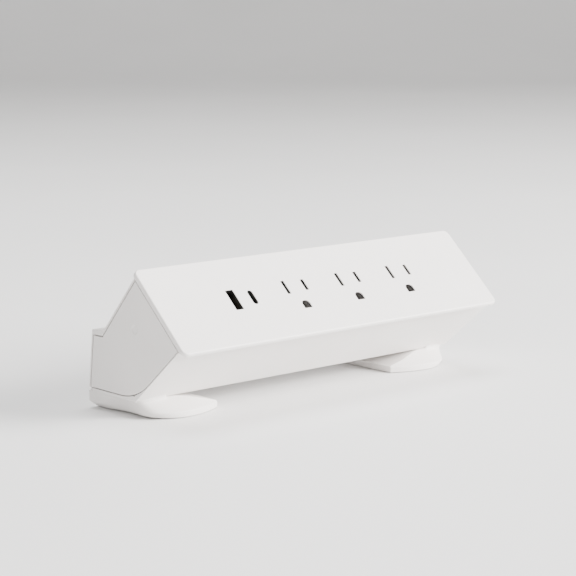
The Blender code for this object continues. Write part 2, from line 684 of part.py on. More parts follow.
def make_spring(number, centre):
    start = centre + shutter_start() + SHUTTER_LENGTH + GAP
    height = UNDER - CHAMBER_DEEP / 2
    radius = SPRING_COIL / 2
    length = SPRING_LENGTH - SPRING_WIRE - GAP
    per_turn = 10
    steps = round(SPRING_TURNS * per_turn)
    points = []
    for i in range(steps + 1):
        angle = 2 * math.pi * i / per_turn
        points.append((start + SPRING_WIRE / 2 + length * i / steps, BLADE_ROW + radius * math.cos(angle),
                       height + radius * math.sin(angle)))
    wire(f"shutter_spring_{number}", points, SPRING_WIRE / 2, STEEL, True)


# ---------------------------------------------------------------- contacts
def make_busbar(name, row, blade_place, clip_row, clip_size, slit, clip_slit_length):
    """A strip under the outlets with a sprung clip standing in each outlet's well."""
    bar = box(name, (BAR_START, row - BAR_WIDTH / 2, BAR_BASE), (BAR_END, row + BAR_WIDTH / 2, BAR_TOP),
              BRASS, True)
    for number, centre in enumerate(OUTLETS, 1):
        x = centre + blade_place * BLADE_SPACING / 2
        width, length = clip_size
        low_row, high_row = sorted((row, clip_row))
        tab = box(f"{name}_tab_{number}", (x - width / 2, low_row - length / 2 * (clip_row < row), BAR_BASE),
                  (x + width / 2, high_row + length / 2 * (clip_row >= row), BAR_TOP), None, True)
        clip = box(f"{name}_clip_{number}", (x - width / 2, clip_row - length / 2, BAR_BASE),
                   (x + width / 2, clip_row + length / 2, BAR_TOP + CLIP_DEEP), None, True)
        opening = box(f"{name}_slit_{number}", (x - slit / 2, clip_row - clip_slit_length, BAR_TOP + GAP),
                      (x + slit / 2, clip_row + clip_slit_length, BAR_TOP + CLIP_DEEP + CUT_PAST), None, True)
        join(bar, tab, clip)
        cut(bar, opening)


def make_tray():
    low_y = OUTLET_LOW - TRAY_MARGIN
    high_y = OUTLET_HIGH + TRAY_MARGIN
    low_x = BAR_START - TRAY_WALL - GAP
    high_x = OUTLETS[-1] + OUTLET_WIDTH / 2 + TRAY_MARGIN
    tray = box("busbar_tray", (low_x, low_y, TRAY_BASE), (high_x, high_y, TRAY_TOP), CARRIER, True)
    pocket = box("tray_pocket", (low_x + TRAY_WALL, low_y + TRAY_WALL, BAR_BASE - GAP),
                 (high_x + CUT_PAST, high_y - TRAY_WALL, TRAY_TOP + CUT_PAST), None, True)
    cut(tray, pocket)
    for number, (x, y) in enumerate(tray_fixings(), 1):
        ear = box(f"tray_ear_{number}", (x - BOSS_RADIUS, high_y - TRAY_WALL, TRAY_BASE),
                  (x + BOSS_RADIUS, y + BOSS_RADIUS, TRAY_TOP), None, True)
        join(tray, ear)
        hole = rod(f"tray_hole_{number}", SCREW_RADIUS + GAP, (x, y, TRAY_BASE - CUT_PAST),
                   (x, y, TRAY_TOP + CUT_PAST), None, True)
        cut(tray, hole)


# ---------------------------------------------------------------- USB charger
def usb_shell(name, x, width, length, radius):
    """A steel sleeve from just under the plate down to the board."""
    outer = rounded_rectangle((x, USB_ROW), width + 2 * SHELL_WALL, length + 2 * SHELL_WALL, radius, 4)
    inner = rounded_rectangle((x, USB_ROW), width, length, radius - SHELL_WALL, 4)
    shell = prism(f"{name}_shell", outer, -BOARD_DEPTH + GAP, UNDER, STEEL, True, "Z")
    cut(shell, prism(f"{name}_shell_hollow", inner, -BOARD_DEPTH + SHELL_FLOOR, 0, None, True, "Z"))


def make_usb_ports():
    usb_shell("usb_a", USB_A_X, USB_A_WIDTH, USB_A_LENGTH, USB_A_CORNER)
    usb_shell("usb_c", USB_C_X, USB_C_WIDTH, USB_C_LENGTH, USB_C_WIDTH / 2 + SHELL_WALL - 0.02)
    base = -BOARD_DEPTH + SHELL_FLOOR + GAP
    top = UNDER - TONGUE_BACK
    x = USB_A_X - USB_A_WIDTH / 2 + TONGUE_THICK / 2 + GAP
    half = USB_A_LENGTH / 2 - 2 * GAP
    box("usb_a_tongue", (x - TONGUE_THICK / 2, USB_ROW - half, base),
        (x + TONGUE_THICK / 2, USB_ROW + half, top), BLACK, True)
    half = USB_C_LENGTH / 2 - 1.2
    box("usb_c_tongue", (USB_C_X - TONGUE_C_THICK / 2, USB_ROW - half, base),
        (USB_C_X + TONGUE_C_THICK / 2, USB_ROW + half, top), BLACK, True)


def make_usb_board():
    top = -BOARD_DEPTH
    base = top - BOARD_THICK
    board = box("usb_board", (BOARD_LOW_X, -BOARD_HALF, base), (BOARD_HIGH_X, BOARD_HALF, top), BOARD, True)
    for number, (x, y) in enumerate(board_fixings(), 1):
        cut(board, rod(f"board_hole_{number}", SCREW_RADIUS + GAP, (x, y, base - CUT_PAST),
                       (x, y, top + CUT_PAST), None, True))
    under = base - GAP
    for name, (x, y, size_x, size_y, high), finish in (("transformer", TRANSFORMER, AMBER),
                                                       ("control_chip", CONTROL_CHIP, BLACK)):
        box(name, (x - size_x / 2, y - size_y / 2, under - high), (x + size_x / 2, y + size_y / 2, under),
            finish, True)
    for name, (x, y, radius, high) in (("input_capacitor", INPUT_CAPACITOR),
                                       ("output_capacitor", OUTPUT_CAPACITOR)):
        rod(name, radius, (x, y, under), (x, y, under - high), CAN, True)
    x, y, radius, length = LINE_FUSE
    height = under - radius - LEAD_CLEAR
    rod("line_fuse", radius, (x, y - length / 2, height), (x, y + length / 2, height), AMBER, True, 16)


# ---------------------------------------------------------------- mains entry
def make_gland():
    lean = math.radians(REAR_LEAN)
    outer = REAR_Y - (GLAND_HEIGHT - FLOOR_HEIGHT) * math.tan(lean)
    slack = GLAND_RADIUS * math.tan(lean)
    y_in = GLAND_INNER_Y
    gland = rod("cord_gland", GLAND_NECK, (GLAND_X, y_in, GLAND_HEIGHT),
                (GLAND_X, REAR_Y, GLAND_HEIGHT), RUBBER)
    y = outer - WALL / math.cos(lean) - slack - GAP
    flange = rod("gland_flange", GLAND_RADIUS, (GLAND_X, y - GLAND_FLANGE, GLAND_HEIGHT),
                 (GLAND_X, y, GLAND_HEIGHT))
    join(gland, flange)
    bore = rod("gland_bore", GLAND_BORE, (GLAND_X, y_in - CUT_PAST, GLAND_HEIGHT),
               (GLAND_X, REAR_Y + CUT_PAST, GLAND_HEIGHT))
    cut(gland, bore)


def make_terminals():
    sx, sy, sz = TERMINAL_SIZE
    low = (TERMINAL_X - sx / 2, TERMINAL_Y - sy / 2, FLOOR_TOP + GAP)
    high = (TERMINAL_X + sx / 2, TERMINAL_Y + sy / 2, FLOOR_TOP + GAP + sz)
    block = box("terminal_block", low, high, BLACK)
    for number, offset in enumerate((-1, 0, 1), 1):
        x = TERMINAL_X + offset * sx / 3
        well = rod(f"terminal_well_{number}", SCREW_HEAD + GAP, (x, TERMINAL_Y, high[2] - TERMINAL_WELL),
                   (x, TERMINAL_Y, high[2] + CUT_PAST))
        bore = rod(f"terminal_bore_{number}", LEAD_RADIUS + GAP,
                   (x, low[1] - CUT_PAST, FLOOR_TOP + LEAD_ENTRY),
                   (x, TERMINAL_Y - sy / 4, FLOOR_TOP + LEAD_ENTRY))
        cut(block, well, bore)
        screw(f"terminal_screw_{number}", (x, TERMINAL_Y, high[2] - TERMINAL_WELL + GAP), (0, 0, 1), 0, True)


def make_cord_clamp():
    half_x, half_y = CLAMP_POST[0] / 2, CLAMP_POST[1] / 2
    base = GLAND_HEIGHT - GLAND_BORE
    clamp = box("cord_clamp", (GLAND_X - half_x, CLAMP_Y - half_y, base),
                (GLAND_X + half_x, CLAMP_Y + half_y, base + CLAMP_HIGH), CARRIER)
    saddle = rod("clamp_saddle", SADDLE_RADIUS, (GLAND_X, CLAMP_Y - half_y - CUT_PAST, base - SADDLE_DROP),
                 (GLAND_X, CLAMP_Y + half_y + CUT_PAST, base - SADDLE_DROP))
    cut(clamp, saddle)
    for name, offset in (("low", -1), ("high", 1)):
        x = GLAND_X + offset * (half_x - BOSS_RADIUS)
        cut(clamp, rod(f"clamp_hole_{name}", SCREW_RADIUS + GAP, (x, CLAMP_Y, base - CUT_PAST),
                       (x, CLAMP_Y, base + CLAMP_HIGH + CUT_PAST)))
        screw(f"clamp_screw_{name}", (x, CLAMP_Y, base + CLAMP_HIGH + GAP), (0, 0, 1), CLAMP_SCREW_LENGTH)


# ---------------------------------------------------------------- fasteners and leads
def screw(name, seat, direction, length, short=False, on_plate=False):
    """A pan-head screw: seat is under its head, direction points out of its head."""
    way = Vector(direction)
    seat = Vector(seat)
    item = rod(name, SCREW_HEAD, seat, seat + way * SCREW_HEAD_HIGH, STEEL, on_plate)
    if not short:
        shank = rod(f"{name}_shank", SCREW_RADIUS, seat - way * length, seat + way * 0.5, None, on_plate, 16)
        join(item, shank)


def make_screws():
    for number, (x, y) in enumerate(cover_fixings(), 1):
        screw(f"cover_screw_{number}", (x, y, FLOOR_HEIGHT + SCREW_SINK - GAP), (0, 0, -1),
              COVER_SCREW_LENGTH)
    for number, (x, y) in enumerate(tray_fixings(), 1):
        screw(f"tray_screw_{number}", (x, y, TRAY_BASE - GAP), (0, 0, -1), TRAY_SCREW_LENGTH, on_plate=True)
    for number, (x, y) in enumerate(board_fixings(), 1):
        screw(f"board_screw_{number}", (x, y, -BOARD_DEPTH - BOARD_THICK - GAP), (0, 0, -1),
              BOARD_SCREW_LENGTH, on_plate=True)


def smooth_route(points, steps=6):
    """A smooth curve through a list of points."""
    knots = [Vector(p) for p in points]
    knots = [2 * knots[0] - knots[1]] + knots + [2 * knots[-1] - knots[-2]]
    route = []
    for a, b, c, d in zip(knots, knots[1:], knots[2:], knots[3:]):
        for i in range(steps):
            t = i / steps
            route.append(0.5 * (2 * b + (c - a) * t + (2 * a - 5 * b + 4 * c - d) * t ** 2
                                + (3 * b - a - 3 * c + d) * t ** 3))
    return route + [knots[-2]]


def make_leads():
    """Leads from the terminals to the bars, and from the bars to the charger."""
    sy = TERMINAL_SIZE[1]
    for name, row, offset, finish in (("live_lead", LIVE_BAR, 1, LIVE_LEAD),
                                      ("ground_lead", GROUND_BAR, 0, GROUND_LEAD),
                                      ("neutral_lead", NEUTRAL_BAR, -1, NEUTRAL_LEAD)):
        x = TERMINAL_X + offset * TERMINAL_SIZE[0] / 3
        y_bar, z_bar = on_plate_section(row, BAR_TOP - BAR_THICK / 2)
        front = TERMINAL_Y - sy / 2
        route = [(x, front + 1.5, FLOOR_TOP + LEAD_ENTRY), (x, front - 3, FLOOR_TOP + 4.4),
                 (x - CUT_PAST, front - 6 - 2 * offset, FLOOR_TOP + 9), (x - CUT_PAST, y_bar + 3, z_bar - 8),
                 (BAR_END + 5, y_bar + 0.5, z_bar - CUT_PAST), (BAR_END + GAP, y_bar, z_bar)]
        wire(name, smooth_route(route), LEAD_RADIUS, finish)
    for name, row, board_row, finish in (("charger_live_lead", LIVE_BAR, -11, LIVE_LEAD),
                                         ("charger_neutral_lead", NEUTRAL_BAR, 12, NEUTRAL_LEAD)):
        level = BAR_BASE - GAP - TRAY_FLOOR
        end = -BOARD_DEPTH - BOARD_THICK - GAP
        reach = BOARD_HIGH_X - 4
        route = [(reach - 3, board_row, end), (reach - 3, board_row, end - 5),
                 (reach + CUT_PAST, (row + board_row) / 2, level - 2), (BAR_START - 4.5, row, BAR_BASE - 1.5),
                 (BAR_START - TRAY_WALL - 2 * GAP, row, BAR_BASE)]
        wire(name, smooth_route(route), CHARGER_LEAD_RADIUS, finish, True)


make_face_plate()
make_lower_housing()
make_rear_cover()
for side_name, side_sign in (("left", -1), ("right", 1)):
    make_end_cap(side_name, side_sign)
    make_foot_pad(side_name, side_sign)
for outlet_number, outlet_centre in enumerate(OUTLETS, 1):
    make_outlet_body(outlet_number, outlet_centre)
    make_shutter(outlet_number, outlet_centre)
    make_spring(outlet_number, outlet_centre)
blade_clip = (CLIP_WIDTH, CLIP_LENGTH)
make_busbar("neutral_busbar", NEUTRAL_BAR, -1, BLADE_ROW, blade_clip, CLIP_SLIT, CLIP_LENGTH)
make_busbar("live_busbar", LIVE_BAR, 1, BLADE_ROW, blade_clip, CLIP_SLIT, CLIP_LENGTH)
make_busbar("ground_busbar", GROUND_BAR, 0, GROUND_ROW, (GROUND_CLIP, GROUND_CLIP), GROUND_SLIT,
            GROUND_SLIT / 2)
make_tray()
make_usb_ports()
make_usb_board()
make_gland()
make_terminals()
make_cord_clamp()
make_screws()
make_leads()
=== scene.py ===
"""Desk power strip: its looks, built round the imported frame. Shapes are drawn in millimetres."""
import math
import bmesh
import bpy
import numpy as np
from mathutils import Matrix, Vector


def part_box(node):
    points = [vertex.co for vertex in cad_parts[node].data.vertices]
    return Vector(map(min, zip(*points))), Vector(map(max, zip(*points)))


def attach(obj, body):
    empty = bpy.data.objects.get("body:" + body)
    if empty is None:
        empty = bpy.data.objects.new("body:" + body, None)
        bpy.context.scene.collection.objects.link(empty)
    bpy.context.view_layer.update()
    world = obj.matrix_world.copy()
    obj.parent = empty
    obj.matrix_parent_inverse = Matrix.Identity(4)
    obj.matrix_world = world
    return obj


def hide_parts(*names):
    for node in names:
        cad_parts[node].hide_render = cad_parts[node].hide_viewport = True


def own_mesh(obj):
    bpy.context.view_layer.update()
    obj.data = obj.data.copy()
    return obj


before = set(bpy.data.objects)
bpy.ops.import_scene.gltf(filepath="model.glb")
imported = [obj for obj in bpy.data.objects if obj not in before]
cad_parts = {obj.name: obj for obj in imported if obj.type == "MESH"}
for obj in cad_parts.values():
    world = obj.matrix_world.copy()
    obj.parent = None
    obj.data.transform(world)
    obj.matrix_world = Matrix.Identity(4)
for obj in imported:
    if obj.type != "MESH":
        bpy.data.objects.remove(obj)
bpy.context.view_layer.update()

MM = 0.001

def show(item):
    bpy.context.scene.collection.objects.link(item)
    return item


# ---------------------------------------------------------------- camera
CAMERA_PLACE = (-0.63104, -0.69512, 0.20967)
CAMERA_DOWN = 9.459
CAMERA_TURN = 41.79
camera_data = bpy.data.cameras.new("camera")
camera_data.lens = 114.67
camera_data.sensor_width = 36
camera_data.clip_start = 0.01
camera_data.clip_end = 20
camera = bpy.data.objects.new("camera", camera_data)
camera.location = CAMERA_PLACE
camera.rotation_euler = (math.radians(90 - CAMERA_DOWN), 0, math.radians(-CAMERA_TURN))
show(camera)
bpy.context.scene.camera = camera

# ---------------------------------------------------------------- sizes, from the frame where it has them
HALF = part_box("face_plate")[1].x / MM
FRONT_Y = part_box("face_plate")[0].y / MM
REAR_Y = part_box("rear_cover")[1].y / MM
FLOOR_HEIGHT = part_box("rear_cover")[0].z / MM
GAP = 0.3
WALL = 2.4

PLATE_WIDTH = 52.9
PLATE_THICK = 2.5
PLATE_CORNER = 3.5
PLATE_EDGE = 0.8
PLATE_HEIGHT = 56.2
PLATE_OVERHANG = 3.4
PLATE_TILT = 42.6
TILT = math.radians(PLATE_TILT)
PLATE_REACH = (PLATE_WIDTH / 2 - PLATE_EDGE) * math.cos(TILT) - PLATE_EDGE * math.sin(TILT) + PLATE_EDGE
PLATE_Y = FRONT_Y + PLATE_REACH
ON_PLATE = Matrix.Translation((0, PLATE_Y, PLATE_HEIGHT)) @ Matrix.Rotation(TILT, 4, "X")

SLOPE_ANGLE = 40.7
BACK_ANGLE = 48.9
LEDGE_HEIGHT = 40.5
LEDGE_FILLET = 5.0
REAR_LEAN = 6.5
END_LIP = 0.5
END_GROOVE = 0.45
END_REAR_INSET = 1.4
END_LEDGE_INSET = 3.0
END_FLOOR_INSET = 1.5
END_CORNER = 34.0
END_THICK = 2.4
END_RIM_DEPTH = 6.0
END_RIM_WALL = 1.8

FOOT_CLEAR = 0.4
FOOT_EDGE = 3.7
FOOT_FRONT = -10.9
FOOT_INNER = 61.0
FOOT_INNER_FRONT = -4.3
ROOT_INNER = 88.8
PAD_THICK = 1.2
PAD_INSET = 4.0

OUTLETS = [-19.52 + 36.87 * step for step in range(3)]
BLADE_ROW = 3.63
BLADE_SPACING = 12.7
GROUND_ROW = BLADE_ROW - 11.9
SLOT_WIDTH = 2.0
NEUTRAL_SLOT = 8.6
LIVE_SLOT = 7.0
GROUND_SIZE = 5.0
SLOT_CHAMFER = 0.22
USB_A = (-61.43, 0.57, 4.8, 12.5)        # across the strip, up the plate, width, length
USB_C = (-49.60, 0.57, 3.1, 8.9)


# ---------------------------------------------------------------- outlines
def arc(centre, radius, first, last, steps):
    """Points on an arc or ellipse, angles in degrees."""
    rx, ry = radius if isinstance(radius, tuple) else (radius, radius)
    angles = [math.radians(first + (last - first) * i / steps) for i in range(steps + 1)]
    return [(centre[0] + rx * math.cos(a), centre[1] + ry * math.sin(a)) for a in angles]


def rounded_rectangle(middle, width, height, radius, steps=6):
    x, y = width / 2 - radius, height / 2 - radius
    corners = ((x, y, 0), (-x, y, 90), (-x, -y, 180), (x, -y, 270))
    outline = []
    for cx, cy, angle in corners:
        outline += arc((middle[0] + cx, middle[1] + cy), radius, angle, angle + 90, steps)
    return outline


def on_plate_section(across, out):
    """Y and Z of a point given across the plate and out from its front face."""
    return (PLATE_Y + across * math.cos(TILT) - out * math.sin(TILT),
            PLATE_HEIGHT + across * math.sin(TILT) + out * math.cos(TILT))


def heading(angle):
    return (math.cos(math.radians(angle)), math.sin(math.radians(angle)))


def meet(p, d, q, e):
    """Where the line through p along d meets the line through q along e."""
    scale = d[0] * e[1] - d[1] * e[0]
    t = ((q[0] - p[0]) * e[1] - (q[1] - p[1]) * e[0]) / scale
    return (p[0] + d[0] * t, p[1] + d[1] * t)


def inset_path(lines, first, last, distances):
    """Corners of a path of lines, each moved sideways to its left, ended by two more lines."""
    moved = []
    for (point, angle), distance in zip(lines, distances):
        d = heading(angle)
        moved.append(((point[0] - d[1] * distance, point[1] + d[0] * distance), d))
    ends = [(first[0], heading(first[1]))] + moved + [(last[0], heading(last[1]))]
    return [meet(p, d, q, e) for (p, d), (q, e) in zip(ends, ends[1:])]


def fillet(outline, index, radius, steps=8):
    """The outline with one corner made round."""
    before, corner, after = (Vector(outline[(index + k) % len(outline)]) for k in (-1, 0, 1))
    a = (before - corner).normalized()
    b = (after - corner).normalized()
    half = a.angle(b) / 2
    middle = corner + (a + b).normalized() * radius / math.sin(half)
    start = corner + a * radius / math.tan(half) - middle
    end = corner + b * radius / math.tan(half) - middle
    sweep = start.angle_signed(end)
    curve = []
    for i in range(steps + 1):
        turn = Matrix.Rotation(-sweep * i / steps, 2)
        curve.append(tuple(middle + turn @ start))
    index %= len(outline)
    return outline[:index] + curve + outline[index + 1:]


UNDER = -PLATE_THICK - GAP
PLATE_LINE = (on_plate_section(0, UNDER), PLATE_TILT)
SLOPE_TOP = on_plate_section(-PLATE_WIDTH / 2 + PLATE_OVERHANG, -PLATE_THICK)
RIDGE = on_plate_section(PLATE_WIDTH / 2 - PLATE_OVERHANG, -PLATE_THICK)
SLOPE_LINE = (SLOPE_TOP, -SLOPE_ANGLE)
FLOOR_LINE = ((0, FLOOR_HEIGHT), 0)
REAR_LINE = ((REAR_Y, FLOOR_HEIGHT), 90 + REAR_LEAN)
LEDGE_LINE = ((0, LEDGE_HEIGHT), 180)
BACK_LINE = (RIDGE, 180 - BACK_ANGLE)
LIP = meet(SLOPE_TOP, heading(-SLOPE_ANGLE), (0, FLOOR_HEIGHT), heading(0))


def rear_inside(height, clearance=0.0):
    """Y of the rear wall's inner face at a height, less a clearance."""
    lean = math.radians(REAR_LEAN)
    return REAR_Y - (height - FLOOR_HEIGHT) * math.tan(lean) - WALL / math.cos(lean) - clearance


def end_outline(extra):
    """The end cap's outline, grown by a margin."""
    insets = (END_LIP + END_GROOVE - extra, END_FLOOR_INSET - extra, END_REAR_INSET - extra,
              END_LEDGE_INSET - extra, END_REAR_INSET - extra)
    lines = (SLOPE_LINE, FLOOR_LINE, REAR_LINE, LEDGE_LINE, BACK_LINE)
    top = (on_plate_section(0, -PLATE_THICK - END_GROOVE + extra), PLATE_TILT)
    outline = inset_path(lines, top, top, insets)
    return fillet(outline, 1, END_CORNER, 20)


# ---------------------------------------------------------------- mesh tools
def to_object(shape, name):
    """A bmesh made an object with its faces pointing out."""
    bmesh.ops.remove_doubles(shape, verts=shape.verts, dist=0.0001)
    bmesh.ops.recalc_face_normals(shape, faces=shape.faces)
    if shape.calc_volume(signed=True) < 0:
        bmesh.ops.reverse_faces(shape, faces=shape.faces)
    mesh = bpy.data.meshes.new(name)
    shape.to_mesh(mesh)
    shape.free()
    item = bpy.data.objects.new(name, mesh)
    show(item)
    return item


def stack(name, sections, space=None):
    """A closed solid through sections with the same number of points."""
    shape = bmesh.new()
    rings = [[shape.verts.new(point) for point in ring] for ring in sections]
    count = len(rings[0])
    for low, high in zip(rings, rings[1:]):
        for i in range(count):
            j = (i + 1) % count
            shape.faces.new((low[i], low[j], high[j], high[i]))
    shape.faces.new(rings[0])
    shape.faces.new(rings[-1])
    if space:
        shape.transform(space)
    return to_object(shape, name)


def along_x(outline, x):
    return [(x, y, z) for y, z in outline]


def along_out(outline, out):
    return [(x, y, out) for x, y in outline]


def box(name, low, high, space=None):
    shape = bmesh.new()
    bmesh.ops.create_cube(shape, size=1)
    bmesh.ops.scale(shape, vec=[b - a for a, b in zip(low, high)], verts=shape.verts)
    bmesh.ops.translate(shape, vec=[(a + b) / 2 for a, b in zip(low, high)], verts=shape.verts)
    if space:
        shape.transform(space)
    return to_object(shape, name)


def turned(name, profile, start, end, space=None, segments=48):
    """A round solid: radius and distance pairs, read from start towards end."""
    axis = (Vector(end) - Vector(start)).normalized()
    turn = Vector((0, 0, 1)).rotation_difference(axis).to_matrix().to_4x4()
    place = Matrix.Translation(start) @ turn
    if space:
        place = space @ place
    circle = [heading(360 * i / segments) for i in range(segments)]
    return stack(name, [[(r * c, r * s, h) for c, s in circle] for r, h in profile], place)


def rod(name, radius, start, end, space=None, segments=48):
    length = (Vector(end) - Vector(start)).length
    return turned(name, [(radius, 0), (radius, length)], start, end, space, segments)


def evaluated(item):
    """The mesh of an object with its modifiers applied."""
    bpy.context.view_layer.update()
    return bpy.data.meshes.new_from_object(item.evaluated_get(bpy.context.evaluated_depsgraph_get()))


def remove(item):
    bpy.data.objects.remove(item, do_unlink=True)


def apply(item):
    mesh = evaluated(item)
    item.modifiers.clear()
    item.data = mesh


def combine(item, tools, operation):
    """Cut or join other solids, which are used up."""
    for tool in tools:
        change = item.modifiers.new(tool.name, "BOOLEAN")
        change.operation = operation
        change.object = tool
    apply(item)
    for tool in tools:
        remove(tool)
    return item


def cut(item, *tools):
    return combine(item, tools, "DIFFERENCE")


def join(item, *tools):
    return combine(item, tools, "UNION")


def settle(item, material, slot, *nodes, body="housing", sharp=32):
    """Put a finished piece in the frame: metres, smooth shading, finish, body and the nodes it stands for."""
    item.data.transform(Matrix.Scale(MM, 4))
    item.data.shade_smooth()
    item.data.set_sharp_from_angle(angle=math.radians(sharp))
    even = item.modifiers.new("even_shading", "WEIGHTED_NORMAL")
    even.keep_sharp = True
    apply(item)
    item.data.materials.clear()
    item.data.materials.append(material)
    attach(item, body)
    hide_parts(*nodes)
    return item


# ---------------------------------------------------------------- finishes
def fill(node, **sockets):
    """Set or link a node's inputs, named with underscores, or numbered after one."""
    for key, value in sockets.items():
        socket = node.inputs[int(key[1:])] if key[1:].isdigit() else node.inputs[key.replace("_", " ")]
        for item in value if isinstance(value, list) else [value]:
            if isinstance(item, bpy.types.NodeSocket):
                node.id_data.links.new(item, socket)
            else:
                socket.default_value = item


def adder(tree):
    """A function that adds a node to a tree, fills it and gives its outputs."""
    def add(kind, settings=(), **sockets):
        node = tree.nodes.new(kind)
        for key, value in settings:
            setattr(node, key, value)
        fill(node, **sockets)
        return node.outputs
    return add


def noise(add, place, scale, detail=3.0, roughness=0.5):
    """A noise pattern in the piece's own metres; scale is waves in a metre."""
    return add("ShaderNodeTexNoise", Scale=scale, Detail=detail, Roughness=roughness, Vector=place)["Fac"]


def remap(add, source, low, high, start=0.3, end=0.7):
    return add("ShaderNodeMapRange", From_Min=start, From_Max=end, To_Min=low, To_Max=high,
               Value=source)["Result"]


def blend_colours(add, share, first, second):
    return add("ShaderNodeMix", [("data_type", "RGBA")], A=(*first, 1), B=(*second, 1),
               Factor=share)["Result"]


def bump(add, height, distance, strength=1.0, below=None):
    under = {"Normal": below} if below else {}
    return add("ShaderNodeBump", Distance=distance, Strength=strength, Height=height, **under)["Normal"]


def new_finish(name):
    """A material, a function that adds its nodes, its shader and the piece's own coordinates."""
    finish = bpy.data.materials.new(name)
    finish.use_nodes = True
    add = adder(finish.node_tree)
    return finish, add, finish.node_tree.nodes["Principled BSDF"], add("ShaderNodeTexCoord")["Object"]


def moulded(name, colour, rough=(0.38, 0.5), grain=2600, grain_depth=0.00003, shade=0.96, ior=1.46,
            sheen=0.0, coat=0.0):
    """Moulded plastic or rubber: spark grain, soft flow marks in the colour and uneven gloss."""
    finish, add, shader, place = new_finish(name)
    flow = noise(add, place, 38)
    darker = tuple(channel * shade for channel in colour)
    wave = bump(add, flow, 0.00006, 0.5)
    fill(shader, Base_Color=blend_colours(add, remap(add, flow, 0, 1), darker, colour),
         Roughness=remap(add, noise(add, place, 420, 4), *rough),
         Normal=bump(add, noise(add, place, grain, 2), grain_depth, 0.8, wave),
         IOR=ior, Sheen_Weight=sheen, Coat_Weight=coat)
    return finish


def metal(name, colour, tarnish, rough=(0.2, 0.42), stretch=(1, 14, 1), depth=0.000015):
    """Rolled or plated metal: fine draw lines and tarnish clouds."""
    finish, add, shader, place = new_finish(name)
    lines = noise(add, add("ShaderNodeMapping", Scale=stretch, Vector=place)["Vector"], 900)
    cloud = remap(add, noise(add, place, 160, 4, 0.6), 0, 1, 0.42, 0.75)
    fill(shader, Base_Color=blend_colours(add, cloud, colour, tarnish), Roughness=remap(add, lines, *rough),
         Normal=bump(add, lines, depth, 0.6), Metallic=1.0)
    return finish


def circuit(name):
    """Solder mask over copper: woven glass below, and paler runs where the tracks go."""
    finish, add, shader, place = new_finish(name)
    cells = add("ShaderNodeTexVoronoi", [("distance", "CHEBYCHEV"), ("feature", "F1")], Scale=170,
                Randomness=0.75, Vector=place)
    track = remap(add, cells["Distance"], 0, 1, 0.36, 0.40)
    weave = add("ShaderNodeTexWave", Scale=900, Distortion=1.0, Vector=place)["Fac"]
    fill(shader, Base_Color=blend_colours(add, track, (0.012, 0.13, 0.05), (0.03, 0.21, 0.075)),
         Normal=bump(add, track, 0.00004, 0.8, bump(add, weave, 0.00001, 0.4)),
         Roughness=remap(add, noise(add, place, 300), 0.22, 0.4))
    return finish


def tape(name, colour, seam):
    """Wound insulating tape: rings one above another, glossy with dull laps."""
    finish, add, shader, place = new_finish(name)
    wave = add("ShaderNodeTexWave", [("wave_type", "BANDS"), ("bands_direction", "Z")], Scale=95,
               Distortion=0.6, Vector=place)["Fac"]
    lap = remap(add, wave, 0, 1, 0.05, 0.3)
    fill(shader, Base_Color=blend_colours(add, lap, seam, colour), Roughness=remap(add, lap, 0.5, 0.24, 0, 1),
         Normal=bump(add, lap, 0.00008, 0.7))
    return finish


CASING = moulded("white_casing", (0.815, 0.785, 0.762), (0.40, 0.52))
PANEL = moulded("white_face_plate", (0.83, 0.80, 0.778), (0.34, 0.44), 2200, 0.00002, 0.975)
REAR_CASING = moulded("white_rear_casing", (0.80, 0.77, 0.748), (0.42, 0.54))
FOOT_RUBBER = moulded("foot_rubber", (0.06, 0.06, 0.062), (0.75, 0.95), 1500, 0.00008, 0.7, 1.5, 0.2)
GLAND_RUBBER = moulded("gland_rubber", (0.045, 0.045, 0.048), (0.6, 0.8), 1700, 0.00005, 0.75, 1.5, 0.15)
CARRIER_GREY = moulded("carrier_plastic", (0.29, 0.278, 0.268), (0.42, 0.58), 2000, 0.00004, 0.8)
SHUTTER_GREY = moulded("shutter_plastic", (0.27, 0.262, 0.255), (0.3, 0.44), 2400, 0.00002, 0.85)
BLACK_PLASTIC = moulded("black_plastic", (0.018, 0.018, 0.02), (0.35, 0.55), 1900, 0.00004, 0.7)
FERRITE = moulded("ferrite_core", (0.05, 0.048, 0.05), (0.5, 0.75), 1300, 0.00007, 0.6)
BLACK_SHEATH = moulded("black_insulation", (0.022, 0.022, 0.024), (0.32, 0.48), 1500, 0.00002, 0.75, coat=0.2)
WHITE_SHEATH = moulded("white_insulation", (0.72, 0.71, 0.69), (0.32, 0.48), 1500, 0.00002, 0.92, coat=0.2)
GREEN_SHEATH = moulded("green_insulation", (0.03, 0.26, 0.08), (0.32, 0.48), 1500, 0.00002, 0.8, coat=0.2)
CAN_SLEEVE = moulded("capacitor_sleeve", (0.035, 0.05, 0.11), (0.2, 0.34), 1500, 0.00002, 0.85, coat=0.4)
FUSE_BODY = moulded("fuse_ceramic", (0.50, 0.29, 0.10), (0.3, 0.5), 1500, 0.00003, 0.8)
WINDING = tape("winding_tape", (0.62, 0.36, 0.05), (0.34, 0.17, 0.02))
SOLDER_MASK = circuit("circuit_board")
SPRING_STEEL = metal("spring_steel", (0.58, 0.58, 0.6), (0.38, 0.37, 0.37))
PLATED_STEEL = metal("plated_steel", (0.66, 0.66, 0.67), (0.45, 0.44, 0.43), (0.18, 0.4), (9, 1, 1))
# Port shell metal: nickel painted much darker than plain nickel, as painted shade inside the USB port mouths
NICKEL_DARKENED_FOR_PORT_SHADE = metal("dark_nickel", (0.24, 0.232, 0.225), (0.12, 0.117, 0.114), (0.3, 0.5), (9, 1, 1))
BRASS = metal("contact_brass", (0.78, 0.57, 0.25), (0.47, 0.30, 0.12), (0.22, 0.45), (1, 12, 12))
SOLDER = metal("bright_solder", (0.62, 0.63, 0.65), (0.42, 0.42, 0.44), (0.15, 0.32), (1, 1, 1))
